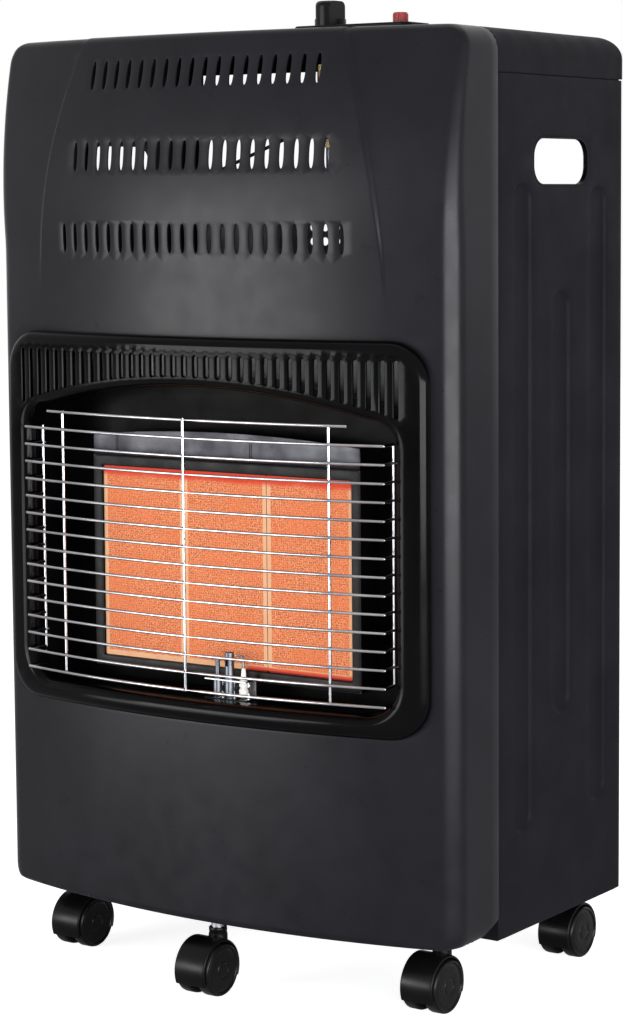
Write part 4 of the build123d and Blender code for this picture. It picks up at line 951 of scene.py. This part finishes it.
def make_deflector():
    """Arched heat deflector of three sheets, and its foot."""
    low = DEFLECTOR_LOW
    rim_height, crest = low + DEFLECTOR_RIM, low + DEFLECTOR_CREST
    rise = DEFLECTOR_CREST - DEFLECTOR_RIM
    radius = (HOUSING_HALF**2 + rise**2) / (2 * rise)
    half = HOUSING_HALF - DEFLECTOR_ROUND
    arc = [Vector((x, crest - bow(radius, x) - DEFLECTOR_ROUND)) for x in around(half, -half, 5.0)]
    corners = [Vector((-half, low + DEFLECTOR_ROUND)), Vector((half, low + DEFLECTOR_ROUND)), *arc]
    outer = resample(corners, 5.0)
    offsets = (-2.0, -1.2, -0.6, 0.0, 0.6, 1.2, 2.0)
    points = [Vector((seam + offset, z)) for seam in SEAMS for offset in offsets
              for z in around(low + 2.5, rim_height - 1.0, 2.5)]
    points += grid_points(around(-118.0, 118.0, 6.0), around(low + 3, rim_height - 2, 4.0),
                          lambda x, z: all(abs(x - seam) > 4 for seam in SEAMS))

    def place(x, z, depth):
        groove = max(smooth(1 - abs(x - seam) / 1.3) for seam in SEAMS)
        return Vector((x, HOUSING_FRONT + depth + 0.45 * groove, z))

    def rim(x, z):
        return round_rim(DEFLECTOR_ROUND, DEFLECTOR_SHEET, 3)

    plate = sheet("deflector_plate", [outer], [rim], points, place, DEFLECTOR_SHEET)
    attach(plate, "cabinet")
    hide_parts("deflector")
    dress(plate, "galvanised_steel", FINISHES["deflector"])
    front, rear = HOUSING_FRONT + DEFLECTOR_SHEET, PLAQUE_Y + 21.5
    foot_corners = [Vector(p) for p in ((-half, front), (half, front), (half, rear), (-half, rear))]
    foot = sheet("deflector_foot", [fillet_loop(foot_corners, [0, 2, 2, 0], 8.0)],
                 [lambda x, y: round_rim(DEFLECTOR_ROUND, DEFLECTOR_SHEET, 2)], [],
                 lambda x, y, depth: Vector((x, y, low + DEFLECTOR_SHEET - depth)), DEFLECTOR_SHEET)
    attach(foot, "cabinet")
    dress(foot, "galvanised_steel", FINISHES["deflector"])


make_burner_rim()
make_deflector()


# ------------------------------------------------------------------ turned pieces
def turned(mesh, profile, centre, upright=False, start=0.0, stop=360.0, count=56, closed=False):
    """Turn a profile of (along, radius) points about an axis along X, or along Z if upright.

    A closed profile is a ring; an open one is closed by flat ends where it meets the axis.
    """
    whole = stop - start >= 360.0
    rings = []
    for k in range(count if whole else count + 1):
        angle = math.radians(start + (stop - start) * k / count)
        c, s = math.cos(angle), math.sin(angle)
        ring = []
        for along, radius in profile:
            spoke = (radius * c, radius * s, along) if upright else (along, -radius * c, radius * s)
            ring.append(mesh.verts.new((Vector(centre) + Vector(spoke)) * MM))
        rings.append(ring)
    links = len(profile) if closed else len(profile) - 1
    turns = list(zip(rings, rings[1:] + rings[:1])) if whole else list(zip(rings, rings[1:]))
    for before, after in turns:
        for i in range(links):
            j = (i + 1) % len(profile)
            mesh.faces.new([before[i], before[j], after[j], after[i]])
    if whole and not closed:
        mesh.faces.new([ring[0] for ring in rings])
        mesh.faces.new([ring[-1] for ring in rings])
    if not whole:
        mesh.faces.new(rings[0])
        mesh.faces.new(rings[-1])


WHEEL_PROFILE = (  # from the inner face round the tread to the hub: distance from the middle, radius
    (4.3, 3.0), (4.3, 18.2), (4.5, 19.1), (5.0, 19.7), (5.9, 20.0), (13.0, 20.0), (14.1, 19.75), (14.9, 19.2),
    (15.25, 18.5), (15.3, 17.9), (15.1, 17.5), (14.6, 17.3), (14.4, 17.0), (14.45, 16.7), (14.75, 16.3),
    (14.95, 14.5), (15.1, 11.0), (15.2, 7.2), (15.1, 6.7), (14.8, 6.5), (14.75, 6.2), (15.05, 5.9), (15.25, 5.0),
    (15.3, 2.5), (15.3, 0.4))
HOOD_SECTION = (
    (-13.8, 21.3), (-13.8, 21.9), (-13.55, 22.5), (-13.0, 22.88), (-12.3, 23.0), (12.3, 23.0), (13.0, 22.88),
    (13.55, 22.5), (13.8, 21.9), (13.8, 21.3), (13.5, 21.0), (-13.5, 21.0))
BOSS_PROFILE = ((0.0, 0.4), (0.0, 7.2), (12.0, 7.2), (14.5, 6.6), (15.2, 6.9), (17.2, 6.9), (17.9, 6.6), (18.1, 6.0),
                (18.1, 0.4))


BOSS_HEIGHT = BOSS_PROFILE[-1][0]


def make_caster(name, stem_x, stem_y):
    axle = (stem_x, stem_y - TRAIL, WHEEL_RADIUS)
    low_angle = math.degrees(math.asin((WHEEL_RADIUS - HOOD_LOW) / HOOD_RADIUS))
    mesh = bmesh.new()
    turned(mesh, HOOD_SECTION, axle, start=-low_angle, stop=180 + low_angle, count=72, closed=True)
    web = ((-4.0, 2.6), (-4.0, 21.4), (4.0, 21.4), (4.0, 2.6))
    turned(mesh, web, axle, start=-low_angle, stop=180 + low_angle, count=72, closed=True)
    turned(mesh, BOSS_PROFILE, (stem_x, stem_y, BOSS_TOP - BOSS_HEIGHT), upright=True, count=40)
    hood = into_piece(f"hood_{name}", mesh)
    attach(hood, f"caster_{name}")
    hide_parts(f"caster_{name}_hood")
    dress(hood, "caster_plastic")
    mesh = bmesh.new()
    for side in (-1, 1):
        turned(mesh, [(side * along, radius) for along, radius in WHEEL_PROFILE], axle)
    wheels = into_piece(f"twin_wheels_{name}", mesh)
    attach(wheels, f"wheels_{name}")
    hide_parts(f"caster_{name}_wheels")
    dress(wheels, "wheel_plastic")


for caster_name, (caster_x, caster_y) in CASTERS.items():
    make_caster(caster_name, caster_x, caster_y)


INSULATOR_X = 25.0
INSULATOR_LOW = 225.3


def make_insulator():
    """Ribbed ceramic insulator of the spark electrode."""
    mesh = bmesh.new()
    profile = [(0.0, 0.3), (0.0, 2.9), (0.6, 3.4), (5.5, 3.45), (6.4, 3.0), (7.2, 2.5)]
    for low, reach in ((8.2, 3.45), (12.2, 3.0)):
        profile += [(low, reach - 0.3), (low + 0.8, reach), (low + 2.0, reach - 0.1), (low + 3.0, reach - 0.9)]
    profile += [(16.6, 1.9), (20.6, 1.6), (21.8, 1.2), (22.0, 0.9)]
    turned(mesh, profile, (INSULATOR_X, PILOT_Y, INSULATOR_LOW), upright=True, count=40)
    insulator = into_piece("ribbed_insulator", mesh)
    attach(insulator, "cabinet")
    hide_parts("spark_insulator")
    dress(insulator, "white_ceramic")


make_insulator()


# ------------------------------------------------------------------ camera, light and floor
PHOTO_WIDTH = 623
PHOTO_HEIGHT = 1024


def make_camera():
    """The photograph's camera: focal length and principal point are in its pixels."""
    focal_length = 2682.56
    principal = (400.0, 460.0)
    place = Vector((1.2019, -1.7107, 0.5962))
    yaw, pitch, roll = 0.57988, 0.09815, -0.00472
    ahead = Vector((-math.sin(yaw) * math.cos(pitch), math.cos(yaw) * math.cos(pitch), -math.sin(pitch)))
    right = Vector((math.cos(yaw), math.sin(yaw), 0.0))
    up = right.cross(ahead)
    turned_right = right * math.cos(roll) + up * math.sin(roll)
    turned_up = up * math.cos(roll) - right * math.sin(roll)
    data = bpy.data.cameras.new("camera")
    data.sensor_width = 36.0
    data.lens = focal_length * data.sensor_width / PHOTO_HEIGHT
    data.shift_x = (PHOTO_WIDTH / 2 - principal[0]) / PHOTO_HEIGHT
    data.shift_y = (principal[1] - PHOTO_HEIGHT / 2) / PHOTO_HEIGHT
    data.clip_start = 0.05
    data.clip_end = 50.0
    camera = bpy.data.objects.new("camera", data)
    turn = Matrix((turned_right, turned_up, -ahead)).transposed()
    camera.matrix_world = Matrix.Translation(place) @ turn.to_4x4()
    bpy.context.scene.collection.objects.link(camera)
    bpy.context.scene.camera = camera


def make_lamp(name, place, target, size, power):
    data = bpy.data.lights.new(name, "AREA")
    data.shape = "RECTANGLE"
    data.size, data.size_y = size
    data.energy = power
    lamp = bpy.data.objects.new(name, data)
    lamp.location = place
    lamp.rotation_euler = (Vector(target) - Vector(place)).to_track_quat("-Z", "Y").to_euler()
    bpy.context.scene.collection.objects.link(lamp)


def make_world():
    """A plain studio: soft grey light, and white where the camera looks past the object."""
    world = bpy.data.worlds.new("studio")
    bpy.context.scene.world = world
    world.use_nodes = True
    tree = world.node_tree
    background = tree.nodes["Background"]
    background.inputs["Color"].default_value = (0.9, 0.92, 0.95, 1)
    background.inputs["Strength"].default_value = 0.3
    white = tree.nodes.new("ShaderNodeBackground")
    white.inputs["Color"].default_value = (1, 1, 1, 1)
    white.inputs["Strength"].default_value = 1.0
    path = tree.nodes.new("ShaderNodeLightPath")
    seen = maths(tree, "MAXIMUM", path.outputs["Is Camera Ray"], path.outputs["Is Transmission Ray"])
    seen = maths(tree, "MAXIMUM", seen, path.outputs["Is Glossy Ray"])
    mix = tree.nodes.new("ShaderNodeMixShader")
    tree.links.new(seen, mix.inputs["Fac"])
    tree.links.new(background.outputs["Background"], mix.inputs[1])
    tree.links.new(white.outputs["Background"], mix.inputs[2])
    tree.links.new(mix.outputs["Shader"], tree.nodes["World Output"].inputs["Surface"])


def make_floor():
    """A pale floor that shows the object's shadow and nothing else."""
    mesh = bmesh.new()
    size = 6.0
    corners = [mesh.verts.new((x, y, 0)) for x, y in ((-size, -size), (size, -size), (size, size), (-size, size))]
    mesh.faces.new(corners)
    floor = into_piece("floor", mesh)
    material, tree, shader = blank("floor")
    shader.inputs["Base Color"].default_value = (0.93, 0.93, 0.93, 1)
    shader.inputs["Roughness"].default_value = 0.9
    shader.inputs["Specular IOR Level"].default_value = 0.0
    shader.inputs["Emission Color"].default_value = (1, 1, 1, 1)
    path = tree.nodes.new("ShaderNodeLightPath")
    glow = maths(tree, "MULTIPLY", path.outputs["Is Camera Ray"], 0.8)
    tree.links.new(glow, shader.inputs["Emission Strength"])
    floor.data.materials.append(material)


make_camera()
make_world()
make_floor()
make_lamp("key", (-1.6, -2.85, 0.5), (0, -0.1, 0.42), (1.8, 0.8), 54)
make_lamp("low", (-0.8, -1.2, 0.13), (0, -0.1, 0.2), (0.9, 0.24), 5)
make_lamp("strip", (1.95, -1.1, 0.34), (0.15, -0.1, 0.34), (2.8, 0.5), 80)
make_lamp("top", (0.0, 0.3, 3.0), (0, 0, 0.4), (2.0, 2.0), 12)

bpy.context.scene.view_settings.view_transform = "Standard"
